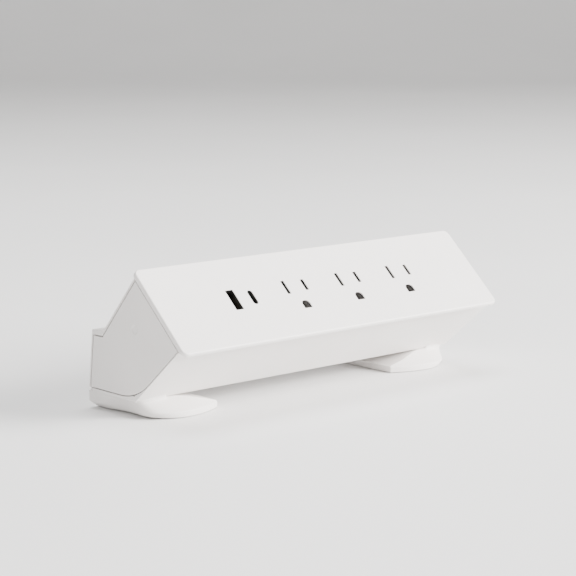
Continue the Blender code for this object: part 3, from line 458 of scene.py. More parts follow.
ALUMINIUM = metal("can_aluminium", (0.7, 0.71, 0.73), (0.5, 0.5, 0.52), (0.25, 0.42), (6, 6, 1))


# ---------------------------------------------------------------- casing
def round_edge(radius, steps=5):
    """Inset and drop of a rounded edge, from the side face to the top face."""
    turns = [math.radians(90 * i / steps) for i in range(steps + 1)]
    return [(radius * (1 - math.cos(a)), radius * (1 - math.sin(a))) for a in turns]


def slab(name, outline_at, low, high, low_round, high_round, space=None, steps=4):
    """A solid drawn out along Z with both rims rounded; outline_at gives the outline at an inset."""
    levels = [(inset, low + drop) for inset, drop in reversed(round_edge(low_round, steps))]
    levels += [(inset, high - drop) for inset, drop in round_edge(high_round, steps)]
    return stack(name, [along_out(outline_at(inset), out) for inset, out in levels], space)


def rounded_slab(name, middle, size, radius, low, high, low_round, high_round, space=ON_PLATE):
    def outline_at(inset):
        return rounded_rectangle(middle, size[0] - 2 * inset, size[1] - 2 * inset, max(radius - inset, 0.02))
    return slab(name, outline_at, low, high, low_round, high_round, space)


def opening(name, outline_at, lead, lip, clear, space=ON_PLATE):
    """A cutter whose mouth is rounded out to a lead-in and whose lip is relieved from behind."""
    levels = [(lead, 1)]
    for i in range(7):
        turn = math.radians(15 * i)
        levels.append((lead * (1 - math.sin(turn)), -lead * (1 - math.cos(turn))))
    levels += [(0, -lip), (clear, -lip - 0.02), (clear, -PLATE_THICK - 1)]
    return stack(name, [along_out(outline_at(grow), out) for grow, out in levels], space)


def blade_outline(x, length):
    def outline_at(grow):
        return rounded_rectangle((x, BLADE_ROW), SLOT_WIDTH + 2 * grow, length + 2 * grow, 0.3 + grow, 4)
    return outline_at


def ground_outline(x):
    def outline_at(grow):
        radius = GROUND_SIZE / 2
        corner = 0.45 + grow
        side, foot = radius + grow - corner, GROUND_ROW - radius - grow + corner
        outline = arc((x, GROUND_ROW), radius + grow, 0, 180, 20)
        outline += arc((x - side, foot), corner, 180, 270, 4)
        return outline + arc((x + side, foot), corner, 270, 360, 4)
    return outline_at


def port_outline(port, corner):
    def outline_at(grow):
        x, y, width, length = port
        return rounded_rectangle((x, y), width + 2 * grow, length + 2 * grow, corner + grow, 6)
    return outline_at


GLAND_X = 84.0
GLAND_HEIGHT = 24.0
GLAND_RADIUS = 7.0
GLAND_BORE = 3.9
GLAND_NECK = 5.4
GLAND_INSIDE = 6.0
GLAND_FLANGE = 2.4
CLAMP_X = GLAND_X
CLAMP_Y = 24.0
CLAMP_REACH = 7.8
CLAMP_HIGH = 4.5
BOARD_DEPTH = 15.6
BOARD_THICK = 1.6
PORT_BASE = 1.5                # port floors above the board
BOARD_X = (-94.0, -43.0)
BOARD_HALF = 15.0
BOSS_RADIUS = 3.2
BOSS_INSET = 3.6
PILOT_RADIUS = 1.7
BOARD_POSTS = [(BOARD_X[0] + BOSS_INSET, BOARD_HALF - BOSS_INSET),
               (BOARD_X[1] - BOSS_INSET, BOSS_INSET - BOARD_HALF)]
OUTLET_BASE = UNDER - 18.0
OUTLET_LOW = GROUND_ROW - 5.8
OUTLET_HIGH = BLADE_ROW + 7.2
OUTLET_WIDTH = 34.0
TRAY_TOP = OUTLET_BASE - GAP
TRAY_WALL = 1.6
TRAY_POSTS = [((OUTLETS[i] + OUTLETS[i + 1]) / 2, OUTLET_HIGH + TRAY_WALL + BOSS_RADIUS + GAP) for i in (0,
                                                                                                         1)]


SLOT_LIP = 0.42
PORT_LIP = 0.35


def make_face_plate():
    panel = rounded_slab("face_panel", (0, 0), (2 * HALF, PLATE_WIDTH), PLATE_CORNER, -PLATE_THICK, 0,
                         0.3, PLATE_EDGE + 0.1)
    bosses, tools = [], []
    for posts, foot, depth in ((BOARD_POSTS, -BOARD_DEPTH + GAP, 8.0), (TRAY_POSTS, TRAY_TOP + GAP, 8.0)):
        for x, y in posts:
            bosses.append(turned("post", [(BOSS_RADIUS - 0.3, 0), (BOSS_RADIUS, 0.3),
                                          (BOSS_RADIUS, -foot - 3.6),
                                          (BOSS_RADIUS + 1.0, -foot - PLATE_THICK), (BOSS_RADIUS + 1.0,
                                                                                     -foot - 1.2)],
                                 (x, y, foot), (x, y, 0), ON_PLATE, 32))
            tools.append(turned("pilot", [(PILOT_RADIUS + 0.3, -1), (PILOT_RADIUS + 0.3, 0),
                                          (PILOT_RADIUS, 0.3),
                                          (PILOT_RADIUS, depth)], (x, y, foot), (x, y, 0), ON_PLATE, 24))
    join(panel, *bosses)
    half = BLADE_SPACING / 2
    for x in OUTLETS:
        for name, outline, clear in (("neutral", blade_outline(x - half, NEUTRAL_SLOT), 2.0),
                                     ("live", blade_outline(x + half, LIVE_SLOT), 2.0),
                                     ("ground", ground_outline(x), 2.2)):
            tools.append(opening(name, outline, SLOT_CHAMFER, SLOT_LIP, clear))
    for name, port, corner in (("usb_a", USB_A, 0.4), ("usb_c", USB_C, USB_C[2] / 2 - 0.01)):
        tools.append(opening(name, port_outline(port, corner), 0.15, PORT_LIP, 0.8))
    cut(panel, *tools)
    settle(panel, PANEL, "casing", "face_plate")


# Feet: how far out each level reaches, at the front corner, along the side and at the rear.
FRONT_PROFILE = ((0.4, 99.6), (0.7, 101.0), (1.2, 102.6), (2.0, 103.8), (3.0, 104.2), (5.3, 104.8),
                 (6.8, 105.2),
                 (7.8, 105.8), (8.4, 106.4), (8.9, 107.2), (9.3, 108.1), (9.5, 108.6), (9.8, 108.79))
SIDE_PROFILE = ((0.4, 99.6), (0.7, 101.0), (1.2, 102.6), (2.0, 103.8), (3.0, 104.2), (5.3, 104.8),
                (6.9, 105.3),
                (7.8, 105.9), (8.4, 106.7), (8.8, 107.6), (9.1, 108.3), (9.4, 108.7), (9.6, 108.79))
REAR_PROFILE = ((0.4, 104.0), (1.2, 105.2), (2.4, 107.0), (3.4, 108.3), (4.0, 108.7), (4.6, 108.79),
                (9.0, 108.79))
FILLET_RADIUS = 2.2
RAMP_FOOT = (-10.1, FOOT_EDGE + 0.05)
RAMP_ANGLE = math.degrees(math.atan2(LIP[1] - RAMP_FOOT[1], LIP[0] - RAMP_FOOT[0]))


def smooth(value):
    value = min(max(value, 0.0), 1.0)
    return value * value * (3 - 2 * value)


def outer_reach(height, y):
    front, side, rear = (float(np.interp(height, *zip(*profile)))
                         for profile in (FRONT_PROFILE, SIDE_PROFILE, REAR_PROFILE))
    reach = front + (side - front) * smooth((y - 0.5) / 5)
    return reach + (rear - reach) * smooth((y - 11) / 21)


def notch_arc():
    """The soft corner where the ramp meets the slope: centre and the heights it runs between."""
    ramp, slope = Vector(heading(180 + RAMP_ANGLE)), Vector(heading(180 - SLOPE_ANGLE))
    half = ramp.angle(slope) / 2
    centre = Vector(LIP) + (ramp + slope).normalized() * FILLET_RADIUS / math.sin(half)
    run = FILLET_RADIUS / math.tan(half)
    return centre, LIP[1] + ramp.y * run, LIP[1] + slope.y * run


NOTCH, NOTCH_LOW, NOTCH_HIGH = notch_arc()
LEVELS = [0.4, 0.7, 1.2, 2.0, 2.6, 2.9, 3.1, 3.35, 3.55, 3.75, 4.1, 4.6, 5.2, 5.9, 6.6, 7.2, 7.6]
LEVELS += [NOTCH_LOW + (NOTCH_HIGH - NOTCH_LOW) * step / 14 for step in range(15)]


def front_reach(height, x):
    """Y of the foot's front at a height and a distance along the strip."""
    edge, top = 2.9, FOOT_EDGE + 0.05
    nose = FOOT_FRONT + 0.12 * max(0.0, 1.2 - height)
    if height <= edge:
        y = nose
    elif height <= top:
        y = nose + (FOOT_FRONT * -0.073) * (1 - math.cos(math.pi / 2 * (height - edge) / (top - edge)))
    else:
        y = RAMP_FOOT[0] + (height - top) / math.tan(math.radians(RAMP_ANGLE))
    fade = smooth((LIP[1] - height) / (LIP[1] - top)) if height > top else 1.0
    inward = max(0.0, (84.0 - x) / (84.0 - FOOT_INNER))
    y += (FOOT_INNER_FRONT - FOOT_FRONT) * inward ** 2 * fade
    share = smooth((x - 89.0) / 3.0)
    if height > NOTCH_LOW:
        inside = max(y, LIP[0] + 0.8) if height > LIP[1] - 0.2 else y
        soft = NOTCH.x + math.sqrt(max(FILLET_RADIUS ** 2 - (min(height, NOTCH_HIGH) - NOTCH.y) ** 2, 0))
        y = inside + (soft - inside) * share
    return y


def inner_reach(height):
    if height <= FOOT_EDGE:
        return FOOT_INNER
    share = min((height - FOOT_EDGE) / (LIP[1] - FOOT_EDGE + 0.1), 1.0)
    return FOOT_INNER + (ROOT_INNER - FOOT_INNER) * (1 - (1 - share) ** (1 / 1.45))


def foot_ring(height, inset=0.0):
    """One level of a foot, for the right side, from its rear outer corner round by the front."""
    ring = []
    for y in (REAR_Y - 0.02, 37.0, 35.0, 32.0, 29.0, 26.0, 23.0, 20.0, 17.0, 14.5, 12.0, 10.0, 8.0, 6.5):
        ring.append((outer_reach(height, y), y))
    share = min(max((height - FOOT_EDGE) / (LIP[1] - FOOT_EDGE), 0.0), 1.0)
    corner_x = 84.0 + 8.0 * share ** 1.5
    front = front_reach(height, corner_x)
    corner_y = max(2.0 + 1.6 * share, front + 0.4)
    radius = (outer_reach(height, corner_y) - corner_x, corner_y - front)
    for i in range(21):
        angle = math.radians(90 * i / 20)
        x, y = corner_x + radius[0] * math.cos(angle), corner_y - radius[1] * math.sin(angle)
        lift = front_reach(height, x) - front if x > corner_x and height > NOTCH_LOW else 0.0
        ring.append((x, y + lift * math.sin(angle)))
    inner = inner_reach(height)
    for i in range(1, 12):
        x = corner_x + (inner + 0.9 - corner_x) * i / 12
        ring.append((x, front_reach(height, x)))
    ridge = 0.8
    y = front_reach(height, inner + ridge)
    for i in range(6):
        angle = math.radians(90 * i / 5)
        ring.append((inner + ridge - ridge * math.sin(angle), y + ridge - ridge * math.cos(angle)))
    for y in (12.0, 24.0, REAR_Y - 0.02):
        ring.append((inner, y))
    return ring


def pad_outline(side, inset):
    """The foot's outline on the desk, drawn in all round."""
    ring = foot_ring(FOOT_CLEAR)
    low_x, high_x = min(p[0] for p in ring), 99.0
    middle_x, middle_y = (low_x + high_x) / 2, (REAR_Y + FOOT_FRONT) / 2
    shrink_x = 1 - inset / ((high_x - low_x) / 2)
    shrink_y = 1 - inset / ((REAR_Y - FOOT_FRONT) / 2)
    return [(side * (middle_x + (x - middle_x) * shrink_x), middle_y + (y - middle_y) * shrink_y) for x,
            y in ring]


COVER_SCREWS = [(x, rear_inside(FLOOR_HEIGHT + WALL) - 5.3) for x in (-42.0, 42.0)]
SCREW_SINK = 1.5


def end_pocket(side):
    """The recess for an end cap, open at the end of the strip."""
    inner, outer = side * (HALF - END_THICK - GAP), side * (HALF + 1)
    return stack("end_pocket", [along_x(end_outline(END_GROOVE), inner),
                                along_x(end_outline(END_GROOVE), outer)])


def make_lower_housing():
    rear = ((rear_inside(FLOOR_HEIGHT, GAP), FLOOR_HEIGHT), 90 + REAR_LEAN)
    outer = inset_path((SLOPE_LINE, FLOOR_LINE), PLATE_LINE, rear, (0, 0))
    inner = inset_path((SLOPE_LINE, FLOOR_LINE), PLATE_LINE, rear, (WALL, WALL))
    outline = outer + inner[::-1]
    outline = fillet(outline, 1, 0.5, 4)
    shell = stack("lower_shell", [along_x(outline, -HALF + 0.25), along_x(outline, HALF - 0.25)])
    ends = []
    for side in (-1, 1):
        rim = stack("end_rim", [along_x(outline, side * (HALF - 2)), along_x(outline, side * HALF)])
        ends.append(rim)
    join(shell, *ends)
    feet = []
    for side in (-1, 1):
        levels = [[(side * x, y, z) for x, y in foot_ring(z)] for z in LEVELS]
        levels.append([(side * x, max(y, LIP[0] + 0.9), LEVELS[-1] + 0.3) for x, y in foot_ring(LEVELS[-1])])
        notch = box("notch", (-HALF - 1, rear_inside(FLOOR_HEIGHT + WALL, 2 * GAP), FLOOR_HEIGHT - GAP),
                    (HALF + 1, REAR_Y + 1, LEDGE_HEIGHT))
        feet.append(cut(stack("foot", levels), notch))
    join(shell, *feet)
    tools = []
    for side in (-1, 1):
        tools.append(end_pocket(side))
        tools.append(stack("pad_recess", [along_out(pad_outline(side, PAD_INSET - GAP), out)
                                          for out in (-1, PAD_THICK + GAP)]))
    for x, y in COVER_SCREWS:
        tools.append(turned("screw_hole", [(3.3, -9), (3.3, 0), (3.0, 0.3), (3.0, SCREW_SINK),
                                           (1.7, SCREW_SINK + 0.01),
                                           (1.7, WALL + 2)], (x, y, FLOOR_HEIGHT), (x, y, 30), None, 40))
    cut(shell, *tools)
    posts, pilots = [], []
    for x in (CLAMP_X - CLAMP_REACH, CLAMP_X + CLAMP_REACH):
        top = GLAND_HEIGHT - GLAND_BORE - GAP
        posts.append(turned("clamp_post", [(BOSS_RADIUS + 0.8, 0), (BOSS_RADIUS + 0.8, 1.4),
                                           (BOSS_RADIUS, 2.2),
                                           (BOSS_RADIUS, top - FLOOR_HEIGHT - WALL + 0.8)],
                            (x, CLAMP_Y, FLOOR_HEIGHT + WALL - 1), (x, CLAMP_Y, 40), None, 32))
        pilots.append(rod("clamp_pilot", PILOT_RADIUS, (x, CLAMP_Y, top - 7), (x, CLAMP_Y, top + 1), None,
                          24))
    join(shell, *posts)
    cut(shell, *pilots)
    settle(shell, CASING, "casing", "lower_housing", sharp=28)


def make_rear_cover():
    lines = (REAR_LINE, LEDGE_LINE, BACK_LINE)
    outer = inset_path(lines, FLOOR_LINE, PLATE_LINE, (0, 0, 0))
    inner = inset_path(lines, FLOOR_LINE, PLATE_LINE, (WALL, WALL, WALL))
    outer = fillet(outer, 2, LEDGE_FILLET, 12)
    outer = fillet(outer, 1, 0.8, 5)
    outer = fillet(outer, 0, 0.4, 3)
    outline = outer + inner[::-1]
    cover = stack("rear_shell", [along_x(outline, -HALF), along_x(outline, HALF)])
    cut(cover, end_pocket(-1), end_pocket(1))
    top = LEDGE_HEIGHT - WALL / 2
    base = FLOOR_HEIGHT + WALL + GAP
    bosses = [turned("boss", [(3.5, 0), (3.8, 0.3), (3.8, top - base)], (x, y, base), (x, y, top), None, 36)
              for x, y in COVER_SCREWS]
    join(cover, *bosses)
    pilots = [rod("pilot", PILOT_RADIUS, (x, y, 0), (x, y, FLOOR_HEIGHT + WALL + 13), None, 24)
              for x, y in COVER_SCREWS]
    outer_y = REAR_Y - (GLAND_HEIGHT - FLOOR_HEIGHT) * math.tan(math.radians(REAR_LEAN))
    pilots.append(turned("inlet", [(GLAND_NECK + GAP, 0), (GLAND_NECK + GAP, 11.6),
                                   (GLAND_NECK + GAP + 0.5, 12.1),
                                   (GLAND_NECK + GAP + 0.5, 16)],
                         (GLAND_X, outer_y - 12, GLAND_HEIGHT), (GLAND_X, outer_y + 4, GLAND_HEIGHT)))
    cut(cover, *pilots)
    settle(cover, REAR_CASING, "rear_casing", "rear_cover", sharp=28)


def make_end_cap(name, side):
    cap = stack(f"end_panel_{name}",
                [along_x(end_outline(-inset), side * (HALF - END_THICK + drop)) for inset, drop in
                 reversed(round_edge(0.2, 2))]
                + [along_x(end_outline(-inset), side * (HALF - drop)) for inset, drop in round_edge(0.35, 4)])
    rim = stack("rim", [along_x(end_outline(-WALL - GAP), side * (HALF - END_THICK / 2)),
                        along_x(end_outline(-WALL - GAP), side * (HALF - END_THICK - END_RIM_DEPTH + 0.5)),
                        along_x(end_outline(-WALL - GAP - 0.4), side * (HALF - END_THICK - END_RIM_DEPTH))])
    hollow = stack("hollow", [along_x(end_outline(-WALL - GAP - END_RIM_WALL), side * (HALF - END_THICK)),
                              along_x(end_outline(-WALL - GAP - END_RIM_WALL),
                                      side * (HALF - END_THICK - END_RIM_DEPTH - 1))])
    join(cap, cut(rim, hollow))
    deep, wide = 0.4, 2.5
    dimple = turned("dimple", [(wide * 0.55, -deep), (wide * 0.8, -deep * 0.75), (wide, 0.0), (wide, 1)],
                    (side * HALF, -0.2, 45.1), (side * (HALF + 1), -0.2, 45.1))
    cut(cap, dimple)
    settle(cap, REAR_CASING, "rear_casing", f"end_cap_{name}", sharp=28)


def make_foot_pad(name, side):
    """A ribbed rubber pad, its ribs worked across it."""
    outline = pad_outline(side, PAD_INSET)
    inner = pad_outline(side, PAD_INSET + 0.3)
    pad = stack(f"foot_pad_{name}_rubber",
                [along_out(outline, PAD_THICK), along_out(outline, 0.3), along_out(inner, 0.0)])
    ribs = [box("groove", (side * 82 - 30, y, -1), (side * 82 + 30, y + 0.8, 0.35)) for y in range(-2, 33, 3)]
    cut(pad, *ribs)
    settle(pad, FOOT_RUBBER, "foot_rubber", f"foot_pad_{name}")


# ---------------------------------------------------------------- repeated pieces, grown by node trees
def new_tree(name, inputs):
    """A node tree with named inputs, and a function that adds a node with its values and links."""
    tree = bpy.data.node_groups.new(name, "GeometryNodeTree")
    for label, kind, value in inputs:
        socket = tree.interface.new_socket(label, in_out="INPUT", socket_type=kind)
        if value is not None:
            socket.default_value = value
    tree.interface.new_socket("Geometry", in_out="OUTPUT", socket_type="NodeSocketGeometry")
    given = tree.nodes.new("NodeGroupInput").outputs
    return tree, given, adder(tree)


def finish_tree(tree, given, add, shape):
    real = add("GeometryNodeRealizeInstances", Geometry=shape)["Geometry"]
    painted = add("GeometryNodeSetMaterial", Geometry=real, Material=given["Material"])["Geometry"]
    tree.links.new(painted, tree.nodes.new("NodeGroupOutput").inputs["Geometry"])
    return tree


FLOAT, WHOLE, MATTER, ARROW = "NodeSocketFloat", "NodeSocketInt", "NodeSocketMaterial", "NodeSocketVector"


def maths(add, operation, a, b):
    return add("ShaderNodeMath", [("operation", operation)], _0=a, _1=b)[0]


def times(add, a, b):
    return maths(add, "MULTIPLY", a, b)


def spring_tree():
    tree, given, add = new_tree("coil_spring", [("Turns", FLOAT, 4.5), ("Coil Radius", FLOAT, 0.95),
                                                ("Length", FLOAT, 5.7), ("Wire Radius", FLOAT, 0.18),
                                                ("Material", MATTER, None)])
    coil = add("GeometryNodeCurveSpiral", Resolution=28, Rotations=given["Turns"],
               Start_Radius=given["Coil Radius"], End_Radius=given["Coil Radius"], Height=given["Length"])[0]
    section = add("GeometryNodeCurvePrimitiveCircle", Resolution=10, Radius=given["Wire Radius"])[0]
    body = add("GeometryNodeCurveToMesh", Curve=coil, Profile_Curve=section, Fill_Caps=True)[0]
    return finish_tree(tree, given, add, body)


def screw_tree():
    """A pan-head screw standing on Z: head above zero, threaded shank below, cross recess in the head."""
    tree, given, add = new_tree("pan_head_screw", [
        ("Head Radius", FLOAT, 2.7), ("Head Height", FLOAT, 1.2), ("Shank Radius", FLOAT, 1.4),
        ("Length", FLOAT, 8.0), ("Pitch", FLOAT, 0.9), ("Recess", FLOAT, 0.62), ("Material", MATTER, None)])
    blank = add("GeometryNodeMeshCylinder", Vertices=40, Side_Segments=8, Radius=1.0, Depth=1.0)["Mesh"]
    place = add("GeometryNodeInputPosition")[0]
    parts = add("ShaderNodeSeparateXYZ", Vector=place)
    level = maths(add, "ADD", parts["Z"], 0.5)
    crown = add("ShaderNodeMapRange", [("interpolation_type", "SMOOTHERSTEP")], Value=level, _1=0.35, _2=1.25,
                _3=1.0, _4=0.35)[0]
    width = times(add, crown, given["Head Radius"])
    new_place = add("ShaderNodeCombineXYZ", X=times(add, parts["X"], width),
                    Y=times(add, parts["Y"], width),
                    Z=times(add, level, given["Head Height"]))[0]
    head = add("GeometryNodeSetPosition", Geometry=blank, Position=new_place)[0]
    long_side = times(add, given["Head Radius"], times(add, given["Recess"], 2.0))
    short_side = times(add, given["Head Radius"], 0.24)
    lift = add("ShaderNodeCombineXYZ", Z=given["Head Height"])[0]
    arms = []
    for sizes in ((long_side, short_side), (short_side, long_side)):
        size = add("ShaderNodeCombineXYZ", X=sizes[0], Y=sizes[1],
                   Z=times(add, given["Head Height"], 1.3))[0]
        arm = add("GeometryNodeMeshCube", Size=size)[0]
        arms.append(add("GeometryNodeTransform", Geometry=arm, Translation=lift)[0])
    head = add("GeometryNodeMeshBoolean", [("operation", "DIFFERENCE"), ("solver", "EXACT")],
               _0=head, _1=arms)["Mesh"]
    shank = add("GeometryNodeMeshCylinder", Vertices=28, Radius=given["Shank Radius"],
                Depth=given["Length"])["Mesh"]
    half = times(add, given["Length"], -0.5)
    shank = add("GeometryNodeTransform", Geometry=shank,
                Translation=add("ShaderNodeCombineXYZ", Z=maths(add, "ADD", half, 0.2))[0])[0]
    turns = maths(add, "DIVIDE", given["Length"], given["Pitch"])
    thread_radius = times(add, given["Shank Radius"], 0.97)
    thread = add("GeometryNodeCurveSpiral", Resolution=20, Rotations=turns, Start_Radius=thread_radius,
                 End_Radius=thread_radius, Height=given["Length"])[0]
    ridge = add("GeometryNodeCurvePrimitiveCircle", Resolution=4, Radius=times(add, given["Pitch"], 0.3))[0]
    thread = add("GeometryNodeCurveToMesh", Curve=thread, Profile_Curve=ridge, Fill_Caps=True)[0]
    thread = add("GeometryNodeTransform", Geometry=thread, Translation=add(
        "ShaderNodeCombineXYZ", Z=times(add, given["Length"], -1.0))[0])[0]
    whole = add("GeometryNodeJoinGeometry", Geometry=[head, shank, thread])[0]
    return finish_tree(tree, given, add, whole)


def row_tree(name, sizes, piece_of):
    """Small pieces, such as pins, contacts and solder mounds, set out along a step."""
    tree, given, add = new_tree(name, [("Count", WHOLE, 4), ("Start", ARROW, (0, 0, 0)),
                                       ("Step", ARROW, (1, 0, 0)), *sizes, ("Material", MATTER, None)])
    line = add("GeometryNodeMeshLine", [("mode", "OFFSET")], Count=given["Count"],
               Start_Location=given["Start"],
               Offset=given["Step"])[0]
    row = add("GeometryNodeInstanceOnPoints", Points=line, Instance=piece_of(add, given))[0]
    return finish_tree(tree, given, add, row)


def pin(add, given):
    return add("GeometryNodeMeshCube", Size=given["Size"])[0]


def mound(add, given):
    return add("GeometryNodeMeshCone", Vertices=18, Side_Segments=4, Depth=given["Height"],
               Radius_Top=times(add, given["Radius"], 0.3), Radius_Bottom=given["Radius"])["Mesh"]


SPRING_TREE, SCREW_TREE = spring_tree(), screw_tree()
ROW_TREE = row_tree("row_of_pins", [("Size", ARROW, (1, 1, 1))], pin)
JOINT_TREE = row_tree("solder_joints", [("Radius", FLOAT, 0.8), ("Height", FLOAT, 0.9)], mound)


def grown(name, tree, material, space=None, **values):
    """The plain mesh that a tree gives for these inputs, moved into place."""
    item = bpy.data.objects.new(name, bpy.data.meshes.new(name + "_seed"))
    show(item)
    change = item.modifiers.new("tree", "NODES")
    change.node_group = tree
    values["Material"] = material
    for socket in tree.interface.items_tree:
        key = socket.name.replace(" ", "_")
        if socket.in_out == "INPUT" and key in values:
            change[socket.identifier] = values[key]
    apply(item)
    if space:
        item.data.transform(space)
    return item


def facing(seat, direction):
    """A space whose origin is the seat and whose Z runs along a direction."""
    turn = Vector((0, 0, 1)).rotation_difference(Vector(direction)).to_matrix().to_4x4()
    return Matrix.Translation(seat) @ turn


def make_screw(name, seat, direction, length, on_plate=False, head=2.7):
    space = facing(seat, direction)
    if on_plate:
        space = ON_PLATE @ space
    item = grown(f"{name}_steel", SCREW_TREE, PLATED_STEEL, space, Length=length, Head_Radius=head)
    settle(item, PLATED_STEEL, "steel", name, sharp=40)


# ---------------------------------------------------------------- outlets
SHUTTER_LENGTH = 21.8
SHUTTER_WIDTH = 10.4
SHUTTER_THICK = 1.8
SHUTTER_TRAVEL = 3.6
SHUTTER_START = -SHUTTER_LENGTH / 2 - SHUTTER_TRAVEL / 2 - 0.2
CHAMBER_DEEP = 2.8
SPRING_LENGTH = 6.4
SPRING_WIRE = 0.36
SPRING_COIL = 1.9


def make_outlet_body(number, centre):
    middle = (centre, (OUTLET_LOW + OUTLET_HIGH) / 2)
    size = (OUTLET_WIDTH, OUTLET_HIGH - OUTLET_LOW)
    body = rounded_slab(f"outlet_carrier_{number}", middle, size, 1.2, OUTLET_BASE, UNDER, 0.5, 0.3)
    low_x = centre + SHUTTER_START - GAP
    high_x = centre + SHUTTER_START + SHUTTER_LENGTH + SPRING_LENGTH + 2 * GAP
    tools = [rounded_slab("chamber", ((low_x + high_x) / 2, BLADE_ROW),
                          (high_x - low_x, SHUTTER_WIDTH + 2 * GAP),
                          0.5, UNDER - CHAMBER_DEEP, UNDER + 1, 0.3, 0.1)]
    for place in (-1, 1):
        x = centre + place * BLADE_SPACING / 2
        sizes = ((5.8, 8.8, OUTLET_BASE - 1), (5.8, 8.8, UNDER - 6.5), (4.2, 9.4, UNDER - CHAMBER_DEEP - 0.6),
                 (4.8, 9.9, UNDER - CHAMBER_DEEP + 0.5))
        tools.append(stack("well", [along_out(rounded_rectangle((x, BLADE_ROW), w, h, 0.4, 3), out)
                                    for w, h, out in sizes], ON_PLATE))
    sizes = ((6.8, OUTLET_BASE - 1), (6.8, UNDER - 5), (6.0, UNDER - 0.5), (6.8, UNDER + 0.01),
             (6.8, UNDER + 1))
    tools.append(stack("ground_well", [along_out(rounded_rectangle((centre, GROUND_ROW), w, w, 1.2, 4), out)
                                       for w, out in sizes], ON_PLATE))
    for side in (-1, 1):
        for step in range(4):
            y = OUTLET_LOW + 5.0 + step * 6.0
            x = centre + side * OUTLET_WIDTH / 2
            tools.append(box("groove", (x - 0.5, y, OUTLET_BASE + 2), (x + 0.5, y + 2.6, UNDER - 3),
                             ON_PLATE))
    cut(body, *tools)
    settle(body, CARRIER_GREY, "carrier", f"outlet_body_{number}")


def make_shutter(number, centre):
    top = UNDER - GAP
    start = centre + SHUTTER_START
    end = start + SHUTTER_LENGTH
    plate = rounded_slab(f"shutter_slide_{number}", ((start + end) / 2, BLADE_ROW),
                         (SHUTTER_LENGTH, SHUTTER_WIDTH),
                         0.6, top - SHUTTER_THICK, top, 0.2, 0.15)
    windows = []
    for place in (-1, 1):
        x = centre + place * BLADE_SPACING / 2 - SHUTTER_TRAVEL
        half = NEUTRAL_SLOT / 2 + GAP
        ring = [(x - 1.5, x + 1.5, top - SHUTTER_THICK - 1), (x - 1.5, x + 1.5, top - SHUTTER_THICK + 0.3),
                (x - 1.5, x + 2.7, top + 0.01), (x - 1.5, x + 2.7, top + 1)]
        windows.append(stack("window", [[(a, BLADE_ROW - half, out), (b, BLADE_ROW - half, out),
                                         (b, BLADE_ROW + half, out), (a, BLADE_ROW + half, out)]
                                        for a, b, out in ring], ON_PLATE))
    windows.append(rounded_slab("relief", (centre - 3.4, BLADE_ROW), (4.6, 7.6), 1.0, top - 0.6, top + 1,
                                0.2, 0.1))
    cut(plate, *windows)
    height = UNDER - CHAMBER_DEEP / 2
    peg = turned("peg", [(0.55, -1.0), (0.55, 1.8), (0.45, 2.1), (0.25, 2.2)], (end, BLADE_ROW, height),
                 (end + 1, BLADE_ROW, height), ON_PLATE, 24)
    join(plate, peg)
    settle(plate, SHUTTER_GREY, "shutter", f"shutter_{number}", body=f"shutter_slider_{number}")


def make_spring(number, centre):
    start = centre + SHUTTER_START + SHUTTER_LENGTH + GAP
    length = SPRING_LENGTH - SPRING_WIRE - GAP
    height = UNDER - CHAMBER_DEEP / 2
    space = ON_PLATE @ facing((start + SPRING_WIRE / 2, BLADE_ROW, height), (1, 0, 0))
    item = grown(f"shutter_coil_{number}", SPRING_TREE, SPRING_STEEL, space, Turns=4.5, Length=length,
                 Coil_Radius=SPRING_COIL / 2, Wire_Radius=SPRING_WIRE / 2)
    settle(item, SPRING_STEEL, "steel", f"shutter_spring_{number}", sharp=60)
    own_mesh(item)


# ---------------------------------------------------------------- contacts
BAR_THICK = 0.8
BAR_WIDTH = 3.6
BAR_TOP = OUTLET_BASE - 2 * GAP
BAR_BASE = BAR_TOP - BAR_THICK
BAR_START = OUTLETS[0] - OUTLET_WIDTH / 2
BAR_END = OUTLETS[-1] + OUTLET_WIDTH / 2 + 3.0
NEUTRAL_BAR, LIVE_BAR, GROUND_BAR = 9.0, -2.4, -8.8
CLIP_DEEP = 13.0
LEAF = 0.5
TRAY_BASE = BAR_BASE - GAP - 2.0
TRAY_MARGIN = 1.9


def ribbon(path, thick):
    """The outline of a strip of sheet that follows a path."""
    points = [Vector(p) for p in path]
    left, right = [], []
    for i, point in enumerate(points):
        ahead = points[min(i + 1, len(points) - 1)] - points[max(i - 1, 0)]
        side = Vector((-ahead.y, ahead.x)).normalized() * thick / 2
        left.append(tuple(point + side))
        right.append(tuple(point - side))
    return left + right[::-1]


def leaf_clip(x, row, width, length, pinch):
    """Two sprung leaves rising from a base, close together near the top and flared at the mouth."""
    half = width / 2 - LEAF / 2
    level = BAR_TOP - LEAF / 2
    path = [(half, 0.0), (half, 3.0), (half * 0.92, 5.0), (pinch + LEAF / 2 + 0.25, 8.6),
            (pinch + LEAF / 2, 9.8),
            (pinch + LEAF / 2 + 0.2, 10.9), (half * 0.75, 12.3), (half * 0.9, CLIP_DEEP)]
    both = [(-a, b) for a, b in path[::-1]] + [(0.0, 0.0)] + path
    outline = ribbon(both, LEAF)
    return stack("clip", [[(x + a, y, level + b) for a, b in outline] for y in (row - length / 2,
                                                                                row + length / 2)],
                 ON_PLATE)


